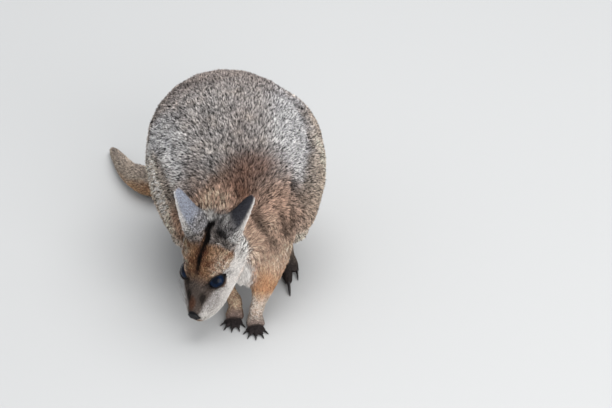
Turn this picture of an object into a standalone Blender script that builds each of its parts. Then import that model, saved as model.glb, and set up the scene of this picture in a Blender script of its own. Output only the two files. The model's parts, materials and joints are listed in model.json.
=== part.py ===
"""A tammar wallaby as a still, life-size model: crouched on all fours, head lowered and turned to its right.

The animal faces -Y, its left side is +X and the floor is z = 0. The body is lofted from stations along
the spine and limbs, fused into a smooth whole, and parted with thin curved knives into the parts that a
person would name. Every surface is the outline of the coat, out to the tips of the hair.
"""

import math

import bmesh
import bpy
from mathutils import Matrix, Vector

CM = 0.01  # stations are written in centimetres
KNIFE_SIDES = 14  # facets round each cutter
GAP = 0.0003  # clear space between neighbouring parts, in metres

# Stations are (x, y, z, half width, height above the line, depth below it), in centimetres.
TRUNK = (
    (0.6, 6.3, 10.2, 3.8, 3.8, 3.9),
    (0.7, 8.3, 11.4, 6.0, 5.5, 5.8),
    (0.6, 11.0, 12.6, 7.8, 7.5, 8.2),
    (0.2, 14.0, 13.2, 9.2, 8.7, 9.8),
    (-0.4, 17.0, 13.1, 9.6, 9.0, 9.8),
    (-0.9, 19.8, 12.5, 9.1, 8.5, 8.9),
    (-1.0, 22.4, 11.1, 7.3, 7.2, 6.8),
    (-0.5, 24.4, 9.4, 4.6, 4.7, 4.2),
    (-0.3, 25.6, 8.2, 2.6, 2.8, 2.6),
)
NECK = (
    (-2.9, 2.5, 9.8, 2.6, 3.1, 2.6),
    (-2.3, 4.2, 10.6, 3.6, 3.7, 3.9),
    (-1.3, 6.4, 11.4, 4.9, 4.3, 5.2),
    (-0.3, 9.0, 12.2, 6.3, 5.2, 6.2),
    (0.3, 11.8, 12.9, 7.0, 6.8, 7.0),
)
BREAST = (
    (-0.3, 1.6, 5.7, 1.2, 1.2, 1.3),
    (-0.1, 2.8, 6.2, 2.5, 2.4, 2.5),
    (0.3, 5.0, 7.8, 3.9, 3.6, 4.0),
    (0.5, 8.0, 10.0, 5.2, 4.6, 5.2),
    (0.5, 11.0, 11.0, 5.0, 4.6, 5.6),
)
THIGH = (
    (4.2, 20.6, 13.6, 4.2, 5.4, 5.4),
    (5.4, 17.2, 13.4, 4.9, 6.2, 6.2),
    (6.0, 13.2, 12.0, 4.5, 5.4, 5.4),
    (6.1, 10.0, 10.2, 3.5, 4.0, 4.0),
    (6.0, 7.8, 8.9, 2.5, 2.8, 2.8),
    (5.9, 6.6, 8.2, 1.4, 1.6, 1.6),
)
SHANK = (
    (6.0, 8.0, 7.6, 1.6, 1.6, 1.6),
    (5.9, 9.6, 6.9, 2.3, 2.3, 2.3),
    (5.7, 13.4, 5.6, 2.1, 2.1, 2.1),
    (5.5, 17.4, 4.3, 1.4, 1.4, 1.4),
    (5.4, 20.2, 2.5, 1.2, 1.3, 1.3),
    (5.4, 21.2, 1.7, 1.0, 1.1, 1.1),
)
HOCK = ((5.45, 19.2, 3.3, 1.3, 1.3, 1.3), *SHANK[-2:])
FOOT = (
    (5.4, 21.9, 1.5, 0.8, 0.9, 1.0),
    (5.4, 21.0, 1.4, 1.2, 1.3, 1.35),
    (5.4, 17.5, 1.2, 1.2, 1.2, 1.2),
    (5.4, 13.5, 1.1, 1.2, 1.0, 1.1),
    (5.4, 10.8, 0.95, 1.05, 0.8, 0.95),
    (5.4, 9.4, 0.8, 0.7, 0.6, 0.75),
)
TOES = (  # the long fourth toe, the fifth outside it, and the joined second and third inside it
    (
        (5.4, 10.8, 0.8, 0.75, 0.7, 0.78),
        (5.4, 8.8, 0.72, 0.68, 0.62, 0.7),
        (5.4, 7.3, 0.62, 0.5, 0.48, 0.58),
    ),
    (
        (6.1, 12.6, 0.8, 0.5, 0.5, 0.6),
        (6.5, 10.8, 0.6, 0.45, 0.45, 0.55),
        (6.6, 9.6, 0.5, 0.36, 0.36, 0.46),
    ),
    (
        (4.7, 13.2, 0.7, 0.36, 0.4, 0.5),
        (4.4, 11.4, 0.5, 0.36, 0.36, 0.44),
        (4.35, 10.5, 0.45, 0.33, 0.3, 0.4),
    ),
)
ARM_LEFT = (
    (3.2, 9.6, 12.0, 2.7, 2.6, 2.6),
    (3.5, 7.4, 10.4, 3.2, 3.1, 3.1),
    (3.2, 4.9, 8.3, 2.7, 2.6, 2.6),
    (2.8, 3.3, 6.4, 2.05, 2.0, 2.0),
    (2.2, 2.0, 4.5, 1.4, 1.4, 1.4),
    (1.6, 1.4, 2.7, 0.95, 0.95, 0.95),
    (1.15, 1.1, 1.5, 0.78, 0.8, 0.8),
    (1.0, 0.8, 0.9, 0.6, 0.6, 0.6),
)
ARM_RIGHT = (
    (-3.4, 10.6, 11.6, 2.6, 2.6, 2.6),
    (-4.6, 9.4, 9.9, 2.7, 2.7, 2.7),
    (-4.9, 8.2, 8.0, 2.2, 2.2, 2.2),
    (-4.5, 7.0, 6.0, 1.7, 1.7, 1.7),
    (-2.9, 5.0, 4.0, 1.2, 1.2, 1.2),
    (-1.5, 3.4, 2.5, 0.85, 0.9, 0.9),
    (-1.05, 2.7, 1.5, 0.78, 0.8, 0.8),
    (-0.95, 2.4, 0.9, 0.6, 0.6, 0.6),
)
TAIL = (
    (-0.2, 21.6, 10.4, 4.4, 4.4, 4.4),
    (-0.3, 24.8, 7.6, 3.6, 3.6, 3.6),
    (-1.0, 26.8, 4.8, 3.0, 3.1, 3.1),
    (-2.9, 27.7, 2.9, 2.7, 2.7, 2.8),
    (-5.4, 27.5, 2.4, 2.45, 2.4, 2.4),
    (-8.1, 27.3, 2.15, 2.2, 2.15, 2.15),
    (-10.4, 28.7, 1.8, 1.85, 1.8, 1.8),
    (-12.1, 31.4, 1.35, 1.4, 1.35, 1.4),
    (-13.1, 34.6, 1.05, 1.05, 1.05, 1.15),
    (-13.9, 37.6, 0.75, 0.7, 0.7, 0.8),
    (-14.1, 38.6, 0.5, 0.3, 0.3, 0.4),
)
MIDDLE = 0.15  # the x the legs are mirrored about, in centimetres

# The head has its own frame: distance back from the nose tip, to its left, and up from its long axis.
NOSE_TIP = Vector((-6.1, -2.2, 3.4))
HEAD_YAW, HEAD_DIP, HEAD_ROLL = (math.radians(a) for a in (34, 52, 2))
HEAD = (  # (distance back, half width, height, depth, squareness of the section, rise of its widest line)
    (0.0, 0.4, 0.35, 0.4, 2.2, 0.0),
    (0.3, 0.8, 0.8, 0.95, 2.4, -0.1),
    (1.2, 1.6, 1.8, 1.6, 2.3, -0.75),
    (2.4, 2.2, 2.45, 2.1, 2.3, -1.2),
    (3.8, 2.6, 2.8, 2.6, 2.2, -1.2),
    (5.0, 3.0, 2.95, 3.0, 2.2, -0.9),
    (6.4, 3.4, 3.05, 3.3, 2.2, -0.5),
    (8.0, 3.65, 2.85, 3.5, 2.1, -0.1),
    (9.4, 3.4, 2.7, 3.4, 2.0, 0.0),
    (10.6, 2.5, 2.1, 2.8, 2.0, 0.0),
    (11.3, 1.3, 1.2, 1.7, 2.0, 0.0),
)
EYE_RADIUS = 1.15
EYE_AT = (4.96, 1.75, 0.4)
NOSE_AT, NOSE_RADII = (-0.15, 0.0, 0.2), (0.85, 0.75, 0.62)
ROUND_SEGMENTS = 16  # facets round an eye

# An ear has its root in the head's frame. Its stations give, from root to tip, the share of its length,
# the half width, and how far round the shell bends in degrees.
EAR_ROOT = (9.2, 1.85, 1.4)
EAR_LENGTH, EAR_THICK = 6.6, 0.34
EAR_LEAN = {1: (0.82, 0.42, 0.27), -1: (0.57, 0.25, 0.76)}  # back, outward and up
EAR_OPENS = {1: (0.0, 0.47, -0.88), -1: (-0.05, 0.97, 0.1)}  # the way the hollow faces
EAR_CUT = 1.6  # how far along the ear it is parted from the head
EAR_SIDES = 16  # facets round the shell
# Share of the length, half width, sweep of the arc in degrees, share of the width on the inner side.
EAR_SHAPE = (
    (0.0, 1.3, 250, 1.00),
    (0.12, 1.55, 215, 1.00),
    (0.3, 1.8, 180, 0.81),
    (0.5, 1.72, 160, 0.50),
    (0.7, 1.45, 142, 0.42),
    (0.86, 1.1, 125, 0.55),
    (0.96, 0.68, 110, 0.80),
    (1.0, 0.38, 100, 1.00),
)

# Forepaws: the wrist and the way the paw points, in degrees left of straight ahead.
ARMS = {1: ARM_LEFT, -1: ARM_RIGHT}
HANDS = {1: ((1.05, 0.9, 1.15), -4), -1: ((-1.05, 2.5, 1.15), -12)}
NAMES = {1: "left", -1: "right"}
HAND_SPREAD = (-44, -22, 0, 21, 43)  # how far each toe turns from the paw's own line
HAND_TOES = (0.9, 1.3, 1.4, 1.3, 0.9)  # toe lengths
PALM_LENGTH, PALM_HEIGHT, TOE_END_HEIGHT = 1.0, 0.62, 0.36
PALM = (0.8, 0.75, 0.75), (0.95, 0.6, 0.6), (1.1, 0.5, 0.55), (0.9, 0.36, 0.42)
PALM_HUMP, PALM_OVERRUN = 0.05, 0.35
TOE_RADII = (0.32, 0.29, 0.25)
TOE_ROOT, TOE_MIDDLE, TOE_END = 0.2, 0.35, 0.45  # from the knuckle
HAND_CLAW = (0.72, 0.18)  # length and radius
CLAW_SHAPE = ((-0.12, 1.0, 0.0), (0.4, 0.85, 0.06), (0.75, 0.55, 0.24), (1.0, 0.2, 0.42))
CLAW_FLOOR = 0.16  # clear height kept under a claw
FOOT_CLAWS = ((5.4, 7.0, 0.72, 1.9, 0.3, "fourth"), (6.62, 9.4, 0.55, 1.3, 0.2, "fifth"))

PARE = 0.12  # pared from the soles, palms and tail to make their flats

# How each skin is made smooth: size of its grain in metres, rounds of smoothing, triangles kept.
TORSO_GRAIN = (0.0032, 16, 1000)
FACE_GRAIN = (0.0016, 7, 1080)
PAW_GRAIN = (0.0009, 4, 320)
FOOT_GRAIN = (0.0014, 5, 230)
EAR_GRAIN = (0.0014, 4, 290)
CREASE = math.radians(45)  # edges sharper than this stay sharp

# Knives. Blocks are (place, aim, radius, length) and ovals (centre, radii, aim), in centimetres.
TAIL_KNIVES = (
    ("tail_tip", (-11.1, 29.6, 1.7), (-0.55, 0.83, -0.05), 3.2, 12),
    ("tail_middle", (-4.0, 27.0, 2.6), (-0.97, 0.24, -0.03), 3.3, 10),
    ("tail_root", (-0.3, 24.0, 8.4), (-0.05, 0.86, -0.5), 5.0, 12),
)
THIGH_KNIFE = ((7.4, 13.8, 12.8), (5.1, 9.5, 5.9), (-0.13, 0.93, 0.34))
SHANK_KNIFE = ((5.9, 13.2, 5.2), (2.6, 9.0, 3.0), (0.0, 0.93, -0.37))
ANKLE_AT, ANKLE_AIM = (5.45, 19.9, 2.9), (0.0, 0.8, -0.6)
ANKLE_RADII, ANKLE_LENGTHS = (1.7, 2.0), (5, 4)  # of the foot's knife and of the body's
FOOT_CLEARING = ((5.4, 7.0, 1.1), (0, 1, 0), 1.5, 14)
WRIST_RADII, WRIST_LENGTH = (3.4, 1.5), 5
FOREARM_RADII, FOREARM_LENGTH = (2.7, 1.2), 8
ELBOW_SHARE, SHOULDER_SHARE = 0.45, 0.2  # where the cuts lie between the arm's stations
UPPER_ARM_RADII, UPPER_ARM_OUT = (3.2, 4.6, 3.2), 0.3
NAPE_AT, NAPE_AIM = (9.9, 0, -0.5), (-0.32, -0.80, -0.50)
HEAD_RADIUS, HEAD_LENGTH = 6.0, 18
SOCKET_RADIUS, SOCKET_LENGTH = 2.4, 6
HEAD_CLEARANCE = 0.0005  # between the head and the neck and breast that it rests against, in metres
NECK_KNIFE = ((-1.9, 5.3, 10.9), (4.6, 4.6, 4.6), (0.3, 0.9, 0.3))
EAR_KNIFE, EAR_CLEARING, EAR_CLEARING_BACK = (2.1, 8), (2.35, 7), 0.1
FLOOR_KNIFE = ((0, 18, PARE), (0, 0, -1), 60, 5)


def head_axes():
    """Unit vectors of the head: back along its axis, to its left, and up out of its crown."""
    back = Vector(
        (
            math.sin(HEAD_YAW) * math.cos(HEAD_DIP),
            math.cos(HEAD_YAW) * math.cos(HEAD_DIP),
            math.sin(HEAD_DIP),
        )
    )
    level_left = Vector((math.cos(HEAD_YAW), -math.sin(HEAD_YAW), 0))
    level_up = (-back).cross(level_left)
    left = level_left * math.cos(HEAD_ROLL) + level_up * math.sin(HEAD_ROLL)
    return back, left, (-back).cross(left)


def on_head(back, left, up):
    """A place given in the head's own frame in centimetres, as centimetres of the whole."""
    axes = head_axes()
    return NOSE_TIP + axes[0] * back + axes[1] * left + axes[2] * up


def smooth_through(stations, steps):
    """Catmull-Rom interpolation of every number of the stations."""
    rows = [list(s) for s in stations]
    rows = [rows[0], *rows, rows[-1]]
    made = []
    for a, b, c, d in zip(rows, rows[1:], rows[2:], rows[3:]):
        for k in range(steps):
            t = k / steps
            made.append(
                [
                    0.5
                    * (
                        2 * q
                        + (r - p) * t
                        + (2 * p - 5 * q + 4 * r - s) * t * t
                        + (3 * q - p - 3 * r + s) * t**3
                    )
                    for p, q, r, s in zip(a, b, c, d)
                ]
            )
    made.append(rows[-1])
    return made


def new_object(name, mesh):
    """The mesh as an object of the scene."""
    obj = bpy.data.objects.new(name, mesh)
    bpy.context.scene.collection.objects.link(obj)
    return obj


def loft(name, stations, side_hint, sides=20, steps=4):
    """A closed tube through stations (x, y, z, half width, height, depth[, squareness]), in centimetres."""
    rows = smooth_through(stations, steps)
    centres = [Vector(r[:3]) for r in rows]
    mesh = bmesh.new()
    rings = []
    for i, row in enumerate(rows):
        along = centres[min(i + 1, len(rows) - 1)] - centres[max(i - 1, 0)]
        along.normalize()
        side = Vector(side_hint) - along * along.dot(Vector(side_hint))
        side.normalize()
        up = side.cross(along)
        if up.dot(Vector((0, 0, 1))) < 0 and abs(up.z) > 0.05:
            up.negate()
        width, above, below = row[3:6]
        power = 2.0 / (row[6] if len(row) > 6 else 2.0)
        ring = []
        for k in range(sides):
            c, s = math.cos(math.tau * k / sides), math.sin(math.tau * k / sides)
            across = math.copysign(abs(c) ** power, c) * width
            rise = math.copysign(abs(s) ** power, s) * (above if s > 0 else below)
            ring.append(mesh.verts.new((centres[i] + side * across + up * rise) * CM))
        rings.append(ring)
    for ring, after in zip(rings, rings[1:]):
        for k in range(sides):
            j = (k + 1) % sides
            mesh.faces.new((ring[k], ring[j], after[j], after[k]))
    mesh.faces.new(rings[0])
    mesh.faces.new(rings[-1])
    bmesh.ops.recalc_face_normals(mesh, faces=mesh.faces)
    data = bpy.data.meshes.new(name)
    mesh.to_mesh(data)
    mesh.free()
    return new_object(name, data)


def mirrored(stations, about):
    """The stations of the other side of the body, mirrored about x = about."""
    return tuple((2 * about - s[0], *s[1:]) for s in stations)


def ball(name, centre, radii, axes=None, segments=24):
    """An ellipsoid at a centre in centimetres. Axes are the unit vectors of its radii."""
    mesh = bmesh.new()
    bmesh.ops.create_uvsphere(mesh, u_segments=segments, v_segments=segments // 2, radius=1)
    turn = Matrix(axes or ((1, 0, 0), (0, 1, 0), (0, 0, 1))).transposed()
    scale = Matrix.Diagonal(Vector(radii) * CM)
    mesh.transform(Matrix.Translation(Vector(centre) * CM) @ (turn @ scale).to_4x4())
    bmesh.ops.recalc_face_normals(mesh, faces=mesh.faces)
    data = bpy.data.meshes.new(name)
    mesh.to_mesh(data)
    mesh.free()
    return new_object(name, data)


def baked(obj, name=None):
    """The object with its modifiers applied, as a new object that takes its place."""
    graph = bpy.context.evaluated_depsgraph_get()
    data = bpy.data.meshes.new_from_object(obj.evaluated_get(graph))
    name = name or obj.name
    bpy.data.objects.remove(obj)
    return new_object(name, data)


def joined(name, pieces):
    """The pieces as one object, still overlapping."""
    mesh = bmesh.new()
    for piece in pieces:
        mesh.from_mesh(piece.data)
        bpy.data.objects.remove(piece)
    data = bpy.data.meshes.new(name)
    mesh.to_mesh(data)
    mesh.free()
    return new_object(name, data)


def fused(name, pieces, voxel, passes, triangles):
    """The pieces as one smooth closed skin of about that many triangles."""
    whole = joined(name, pieces)
    remesh = whole.modifiers.new("fuse", "REMESH")
    remesh.mode = "VOXEL"
    remesh.voxel_size = voxel
    remesh.adaptivity = 0
    relax = whole.modifiers.new("relax", "SMOOTH")
    relax.factor = 0.5
    relax.iterations = passes
    whole = baked(whole, name)
    thin = whole.modifiers.new("thin", "DECIMATE")
    thin.ratio = triangles / sum(len(p.vertices) - 2 for p in whole.data.polygons)
    return baked(whole, name)


def ear_axis(side):
    """The way an ear points, from root to tip."""
    back, left, up = head_axes()
    lean = EAR_LEAN[side]
    return (back * lean[0] + left * lean[1] * side + up * lean[2]).normalized()


def ear(name, side):
    """A cupped leaf. Its shell is an arc about the ear's own axis at each station."""
    back, left, up = head_axes()
    root = on_head(EAR_ROOT[0], EAR_ROOT[1] * side, EAR_ROOT[2])
    axis = ear_axis(side)
    gape = EAR_OPENS[side]
    opens = back * gape[0] + left * gape[1] * side + up * gape[2]
    opens = (opens - axis * axis.dot(opens)).normalized()
    across = axis.cross(opens)
    if across.dot(up - back) < 0:
        across = -across
    mesh = bmesh.new()
    grid = []
    for t, half, sweep, inner in smooth_through(EAR_SHAPE, 3):
        row = []
        sweep = math.radians(sweep)
        radius = half / math.sin(min(sweep / 2, math.pi / 2))
        rim = radius * math.cos(sweep / 2)
        for k in range(EAR_SIDES + 1):
            turn = sweep * (k / EAR_SIDES - 0.5)
            share = inner if turn < 0 else 1
            place = root + axis * (EAR_LENGTH * t) + across * (radius * math.sin(turn) * share)
            place -= opens * (radius * math.cos(turn) - rim * 0.5)
            row.append(mesh.verts.new(place * CM))
        grid.append(row)
    for row, after in zip(grid, grid[1:]):
        for k in range(EAR_SIDES):
            mesh.faces.new((row[k], row[k + 1], after[k + 1], after[k]))
    bmesh.ops.recalc_face_normals(mesh, faces=mesh.faces)
    data = bpy.data.meshes.new(name)
    mesh.to_mesh(data)
    mesh.free()
    leaf = new_object(name, data)
    thick = leaf.modifiers.new("thick", "SOLIDIFY")
    thick.thickness = EAR_THICK * CM
    thick.offset = 0
    return baked(leaf)


def hand(side, wrist, aim):
    """The palm and five toes of a forepaw, and the place and direction of each claw."""
    wrist = Vector(wrist)
    ahead = Vector((math.sin(math.radians(aim)), -math.cos(math.radians(aim)), 0))
    knuckle = wrist + ahead * PALM_LENGTH
    knuckle.z = PALM_HEIGHT
    hump = (wrist + knuckle) / 2 + Vector((0, 0, PALM_HUMP))
    places = (wrist, hump, knuckle, knuckle + ahead * PALM_OVERRUN)
    palm = [(*place, *radii) for place, radii in zip(places, PALM)]
    pieces = [loft("palm", palm, (1, 0, 0), 14, 3)]
    claws = []
    for turn, reach in zip(HAND_SPREAD, HAND_TOES):
        turn = math.radians(aim + turn)
        out = Vector((math.sin(turn), -math.cos(turn), 0))
        start = knuckle + out * TOE_ROOT
        middle = knuckle + out * (TOE_MIDDLE + reach / 2) - Vector((0, 0, PALM_HUMP))
        end = knuckle + out * (TOE_END + reach)
        end.z = TOE_END_HEIGHT
        toe = [(*place, r, r, r) for place, r in zip((start, middle, end), TOE_RADII)]
        pieces.append(loft("toe", toe, (-out.y, out.x, 0), 8, 2))
        claws.append((end + out * 0.02, out))
    return pieces, claws


def claw(name, start, out, length, radius, grow=0.0):
    """A curved horn from a toe's end. Grown, it is the room the toe leaves for it."""
    start, out = Vector(start), Vector(out).normalized()
    rows = []
    for t, thick, fall in CLAW_SHAPE:
        place = start + out * (length * t) - Vector((0, 0, 1)) * (fall * length)
        place.z = max(place.z, radius * thick + CLAW_FLOOR)
        if grow and t < 0:
            place -= out * (grow / CM)
        half = radius * thick + grow / CM
        rows.append((*place, half * 0.8, half, half))
    return loft(name, rows, (-out.y, out.x, 0), 6, 1)


def zone(base, aim, radius, length, end_radius=None):
    """A knife: a round block from a base plane along an aim, and its twin grown by the gap."""
    made = []
    aim = Vector(aim).normalized()
    turn = aim.to_track_quat("Z", "Y").to_matrix().to_4x4()
    for grow in (0.0, GAP / CM):
        mesh = bmesh.new()
        near, far = radius + grow, (end_radius or radius) + grow
        bmesh.ops.create_cone(
            mesh,
            segments=KNIFE_SIDES,
            radius1=near * CM,
            radius2=far * CM,
            depth=(length + grow) * CM,
            cap_ends=True,
        )
        middle = Vector(base) + aim * ((length - grow) / 2)
        mesh.transform(Matrix.Translation(middle * CM) @ turn)
        data = bpy.data.meshes.new("knife")
        mesh.to_mesh(data)
        mesh.free()
        made.append(new_object("knife", data))
    return made


def oval(centre, radii, aim, side):
    """A knife: an ellipsoid with its second radius along the aim, and its twin grown by the gap."""
    aim = Vector(aim).normalized()
    side = (Vector(side) - aim * aim.dot(Vector(side))).normalized()
    axes = (side, aim, side.cross(aim))
    grown = [r + GAP / CM for r in radii]
    return [ball("knife", centre, size, axes, KNIFE_SIDES) for size in (radii, grown)]


def cut(obj, cutter, operation):
    """The object after an exact Boolean with the cutter, which stays."""
    modifier = obj.modifiers.new("cut", "BOOLEAN")
    modifier.operation = operation
    modifier.solver = "EXACT"
    modifier.object = cutter
    return baked(obj, obj.name)


def drop(*tools):
    """Remove the tools that have done their work."""
    for tool in tools:
        bpy.data.objects.remove(tool)


def twin(obj, name):
    """A copy of the object under a name of its own."""
    return new_object(name, obj.data.copy())


def carve(rest, knife, name):
    """Take what lies inside the knife as the named part, and clear it from the rest."""
    piece = largest(cut(twin(rest, name), knife[0], "INTERSECT"))
    rest = cut(rest, knife[1], "DIFFERENCE")
    drop(*knife)
    return piece, rest


def islands(mesh):
    """The connected pieces of a bmesh, as lists of faces, largest first."""
    seen, groups = set(), []
    for face in mesh.faces:
        if face.index in seen:
            continue
        group, todo = [], [face]
        seen.add(face.index)
        while todo:
            here = todo.pop()
            group.append(here)
            for edge in here.edges:
                for other in edge.link_faces:
                    if other.index not in seen:
                        seen.add(other.index)
                        todo.append(other)
        groups.append(group)
    return sorted(groups, key=lambda g: -sum(f.calc_area() for f in g))


def largest(obj):
    """The object with only its largest island kept, triangulated and free of doubles."""
    mesh = bmesh.new()
    mesh.from_mesh(obj.data)
    bmesh.ops.remove_doubles(mesh, verts=mesh.verts, dist=0.000005)
    mesh.faces.index_update()
    for group in islands(mesh)[1:]:
        bmesh.ops.delete(mesh, geom=group, context="FACES")
    loose = [v for v in mesh.verts if not v.link_faces]
    bmesh.ops.delete(mesh, geom=loose, context="VERTS")
    bmesh.ops.triangulate(mesh, faces=mesh.faces)
    mesh.to_mesh(obj.data)
    mesh.free()
    return obj


def sided(rows, side):
    """Stations or a place of the left side, put on either side of the body."""
    if side == 1:
        return tuple(rows)
    if isinstance(rows[0], (int, float)):
        return (2 * MIDDLE - rows[0], *rows[1:])
    return mirrored(rows, MIDDLE)


def make_torso():
    """Trunk, neck, breast, tail and legs as one skin."""
    soft = [loft("spine", rows, (1, 0, 0)) for rows in (TRUNK, NECK, BREAST)]
    soft.append(loft("tail", TAIL, (0.3, 0.3, 1)))
    for side in (1, -1):
        soft.append(loft("arm", ARMS[side], (1, 0, 0)))
        soft.append(loft("thigh", sided(THIGH, side), (1, 0, 0)))
        soft.append(loft("shank", sided(SHANK, side), (1, 0, 0)))
    return fused("torso", soft, *TORSO_GRAIN)


def make_face():
    """Head and ears as one skin, with the nape inside it."""
    lateral = head_axes()[1]
    rows = [(*on_head(back, 0, rise), *size) for back, *size, rise in HEAD]
    pieces = [loft("skull", rows, lateral), loft("nape", NECK[:4], (1, 0, 0)), ear("ear", 1), ear("ear", -1)]
    return fused("face", pieces, *FACE_GRAIN)


def pared(obj):
    """The object with a flat at the level of the floor."""
    base = zone(*FLOOR_KNIFE)
    obj = cut(obj, base[0], "DIFFERENCE")
    drop(*base)
    return obj


def with_room(obj, tool):
    """The object with the room that the tool fills taken out of it."""
    obj = cut(obj, tool, "DIFFERENCE")
    drop(tool)
    return obj


def swollen(obj, amount):
    """A copy of the object with its whole surface moved outward."""
    copy = twin(obj, "swollen")
    mesh = bmesh.new()
    mesh.from_mesh(copy.data)
    mesh.normal_update()
    moves = [v.normal * amount for v in mesh.verts]
    for v, move in zip(mesh.verts, moves):
        v.co += move
    mesh.to_mesh(copy.data)
    mesh.free()
    return copy


def make_hand(side, parts):
    """A whole paw and wrist. Its claws join the parts."""
    wrist, aim = HANDS[side]
    pieces, claws = hand(side, wrist, aim)
    pieces.append(loft("wrist", ARMS[side][-4:], (1, 0, 0)))
    paw = pared(fused("paw", pieces, *PAW_GRAIN))
    for k, (place, out) in enumerate(claws):
        paw = with_room(paw, claw("room", place, out, *HAND_CLAW, GAP))
        parts.append(claw(f"claw_fore_{NAMES[side]}_{k + 1}", place, out, *HAND_CLAW))
    return paw


def make_foot(side, parts):
    """A whole hind foot up to the hock. Its claws join the parts."""
    pieces = [loft("sole", sided(rows, side), (1, 0, 0)) for rows in (FOOT, HOCK)]
    pieces += [loft("toe", sided(toe, side), (1, 0, 0), 12, 3) for toe in TOES]
    foot = pared(fused("foot", pieces, *FOOT_GRAIN))
    for x, y, z, length, radius, label in FOOT_CLAWS:
        place = sided((x, y, z), side)
        foot = with_room(foot, claw("room", place, (0, -1, 0), length, radius, GAP))
        parts.append(claw(f"claw_{label}_{NAMES[side]}", place, (0, -1, 0), length, radius))
    return foot


def part_arm(torso, parts, side):
    """Part a forepaw, a forearm and an upper arm from the body."""
    label = NAMES[side]
    arm = [Vector(row[:3]) for row in ARMS[side]]
    paw = make_hand(side, parts)
    at = (arm[-3] + arm[-2]) / 2
    down = arm[-2] - arm[-4]
    wide, narrow = (zone(at, down, radius, WRIST_LENGTH) for radius in WRIST_RADII)
    parts.append(renamed(largest(cut(paw, wide[0], "INTERSECT")), "forepaw_" + label))
    torso = cut(torso, narrow[1], "DIFFERENCE")
    drop(*wide, *narrow)
    elbow = arm[3].lerp(arm[2], ELBOW_SHARE)
    shoulder = arm[1].lerp(arm[0], SHOULDER_SHARE)
    knife = zone(elbow, arm[-3] - elbow, FOREARM_RADII[0], FOREARM_LENGTH, FOREARM_RADII[1])
    piece, torso = carve(torso, knife, "forearm_" + label)
    parts.append(piece)
    middle = (elbow + shoulder) / 2 + Vector((UPPER_ARM_OUT * side, 0, 0))
    knife = oval(middle, UPPER_ARM_RADII, shoulder - elbow, (1, 0, 0))
    piece, torso = carve(torso, knife, "upper_arm_" + label)
    parts.append(piece)
    return torso


def part_leg(torso, parts, side):
    """Part a hind foot, a thigh and a shank from the body."""
    label = NAMES[side]
    foot = make_foot(side, parts)
    at = Vector(sided(ANKLE_AT, side))
    aim = Vector(ANKLE_AIM)
    above = zone(at, -aim, ANKLE_RADII[0], ANKLE_LENGTHS[0])
    below = zone(at, aim, ANKLE_RADII[1], ANKLE_LENGTHS[1])
    foot = largest(cut(foot, above[0], "DIFFERENCE"))
    parts.append(renamed(foot, "foot_" + label))
    torso = cut(torso, below[1], "DIFFERENCE")
    lying = zone(sided(FOOT_CLEARING[0], side), *FOOT_CLEARING[1:])
    torso = cut(torso, lying[1], "DIFFERENCE")
    drop(*above, *below, *lying)
    for name, (centre, radii, run) in (("thigh_", THIGH_KNIFE), ("shank_", SHANK_KNIFE)):
        knife = oval(sided(centre, side), radii, (run[0] * side, *run[1:]), (1, 0, 0))
        piece, torso = carve(torso, knife, name + label)
        parts.append(piece)
    return torso


def part_tail(torso, parts):
    """Part the tail from the body in three lengths."""
    for name, at, aim, radius, length in TAIL_KNIVES:
        piece, torso = carve(torso, zone(at, aim, radius, length), name)
        parts.append(piece)
    return torso


def part_head(torso, parts):
    """Part ears, eyes, nose and neck, and seat the head on the body."""
    back, lateral, _ = head_axes()
    face = make_face()
    for side in (1, -1):
        label = NAMES[side]
        axis = ear_axis(side)
        root = on_head(EAR_ROOT[0], EAR_ROOT[1] * side, EAR_ROOT[2])
        flap = zone(root + axis * EAR_CUT, axis, *EAR_KNIFE)
        leaf = cut(fused("leaf", [ear("leaf", side)], *EAR_GRAIN), flap[0], "INTERSECT")
        parts.append(renamed(largest(leaf), "ear_" + label))
        face = cut(face, flap[1], "DIFFERENCE")
        hollow = zone(root + axis * (EAR_CUT - EAR_CLEARING_BACK), axis, *EAR_CLEARING)
        torso = cut(torso, hollow[0], "DIFFERENCE")
        drop(*flap, *hollow)
        eye = on_head(EYE_AT[0], EYE_AT[1] * side, EYE_AT[2])
        room = EYE_RADIUS + GAP / CM
        face = with_room(face, ball("room", eye, (room, room, room), segments=ROUND_SEGMENTS))
        radii = (EYE_RADIUS, EYE_RADIUS, EYE_RADIUS)
        parts.append(ball("eye_" + label, eye, radii, segments=ROUND_SEGMENTS))
    piece, face = carve(face, oval(on_head(*NOSE_AT), NOSE_RADII, back, lateral), "nose")
    parts.append(piece)
    at = on_head(*NAPE_AT)
    wide = zone(at, NAPE_AIM, HEAD_RADIUS, HEAD_LENGTH)
    narrow = zone(at, NAPE_AIM, SOCKET_RADIUS, SOCKET_LENGTH)
    head = renamed(largest(cut(face, wide[0], "INTERSECT")), "head")
    parts.append(head)
    torso = cut(torso, narrow[1], "DIFFERENCE")
    torso = with_room(torso, swollen(head, HEAD_CLEARANCE))
    drop(*wide, *narrow)
    piece, torso = carve(torso, oval(*NECK_KNIFE, (1, 0, 0)), "neck")
    parts.append(piece)
    return torso


def renamed(obj, name):
    """The object under its final name."""
    obj.name = name
    obj.data.name = name
    return obj


COLOURS = {  # linear base colour and roughness, by the first word of a part's name
    "trunk": (0.115, 0.095, 0.078, 0.85),
    "neck": (0.15, 0.09, 0.05, 0.85),
    "head": (0.17, 0.10, 0.055, 0.85),
    "ear": (0.11, 0.10, 0.10, 0.85),
    "upper": (0.20, 0.105, 0.05, 0.85),
    "forearm": (0.30, 0.16, 0.075, 0.85),
    "forepaw": (0.10, 0.065, 0.05, 0.8),
    "thigh": (0.16, 0.13, 0.10, 0.85),
    "shank": (0.22, 0.17, 0.12, 0.85),
    "foot": (0.16, 0.11, 0.075, 0.85),
    "tail": (0.13, 0.11, 0.09, 0.85),
    "nose": (0.012, 0.011, 0.012, 0.45),
    "eye": (0.008, 0.006, 0.006, 0.08),
    "claw": (0.02, 0.018, 0.017, 0.4),
}


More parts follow.
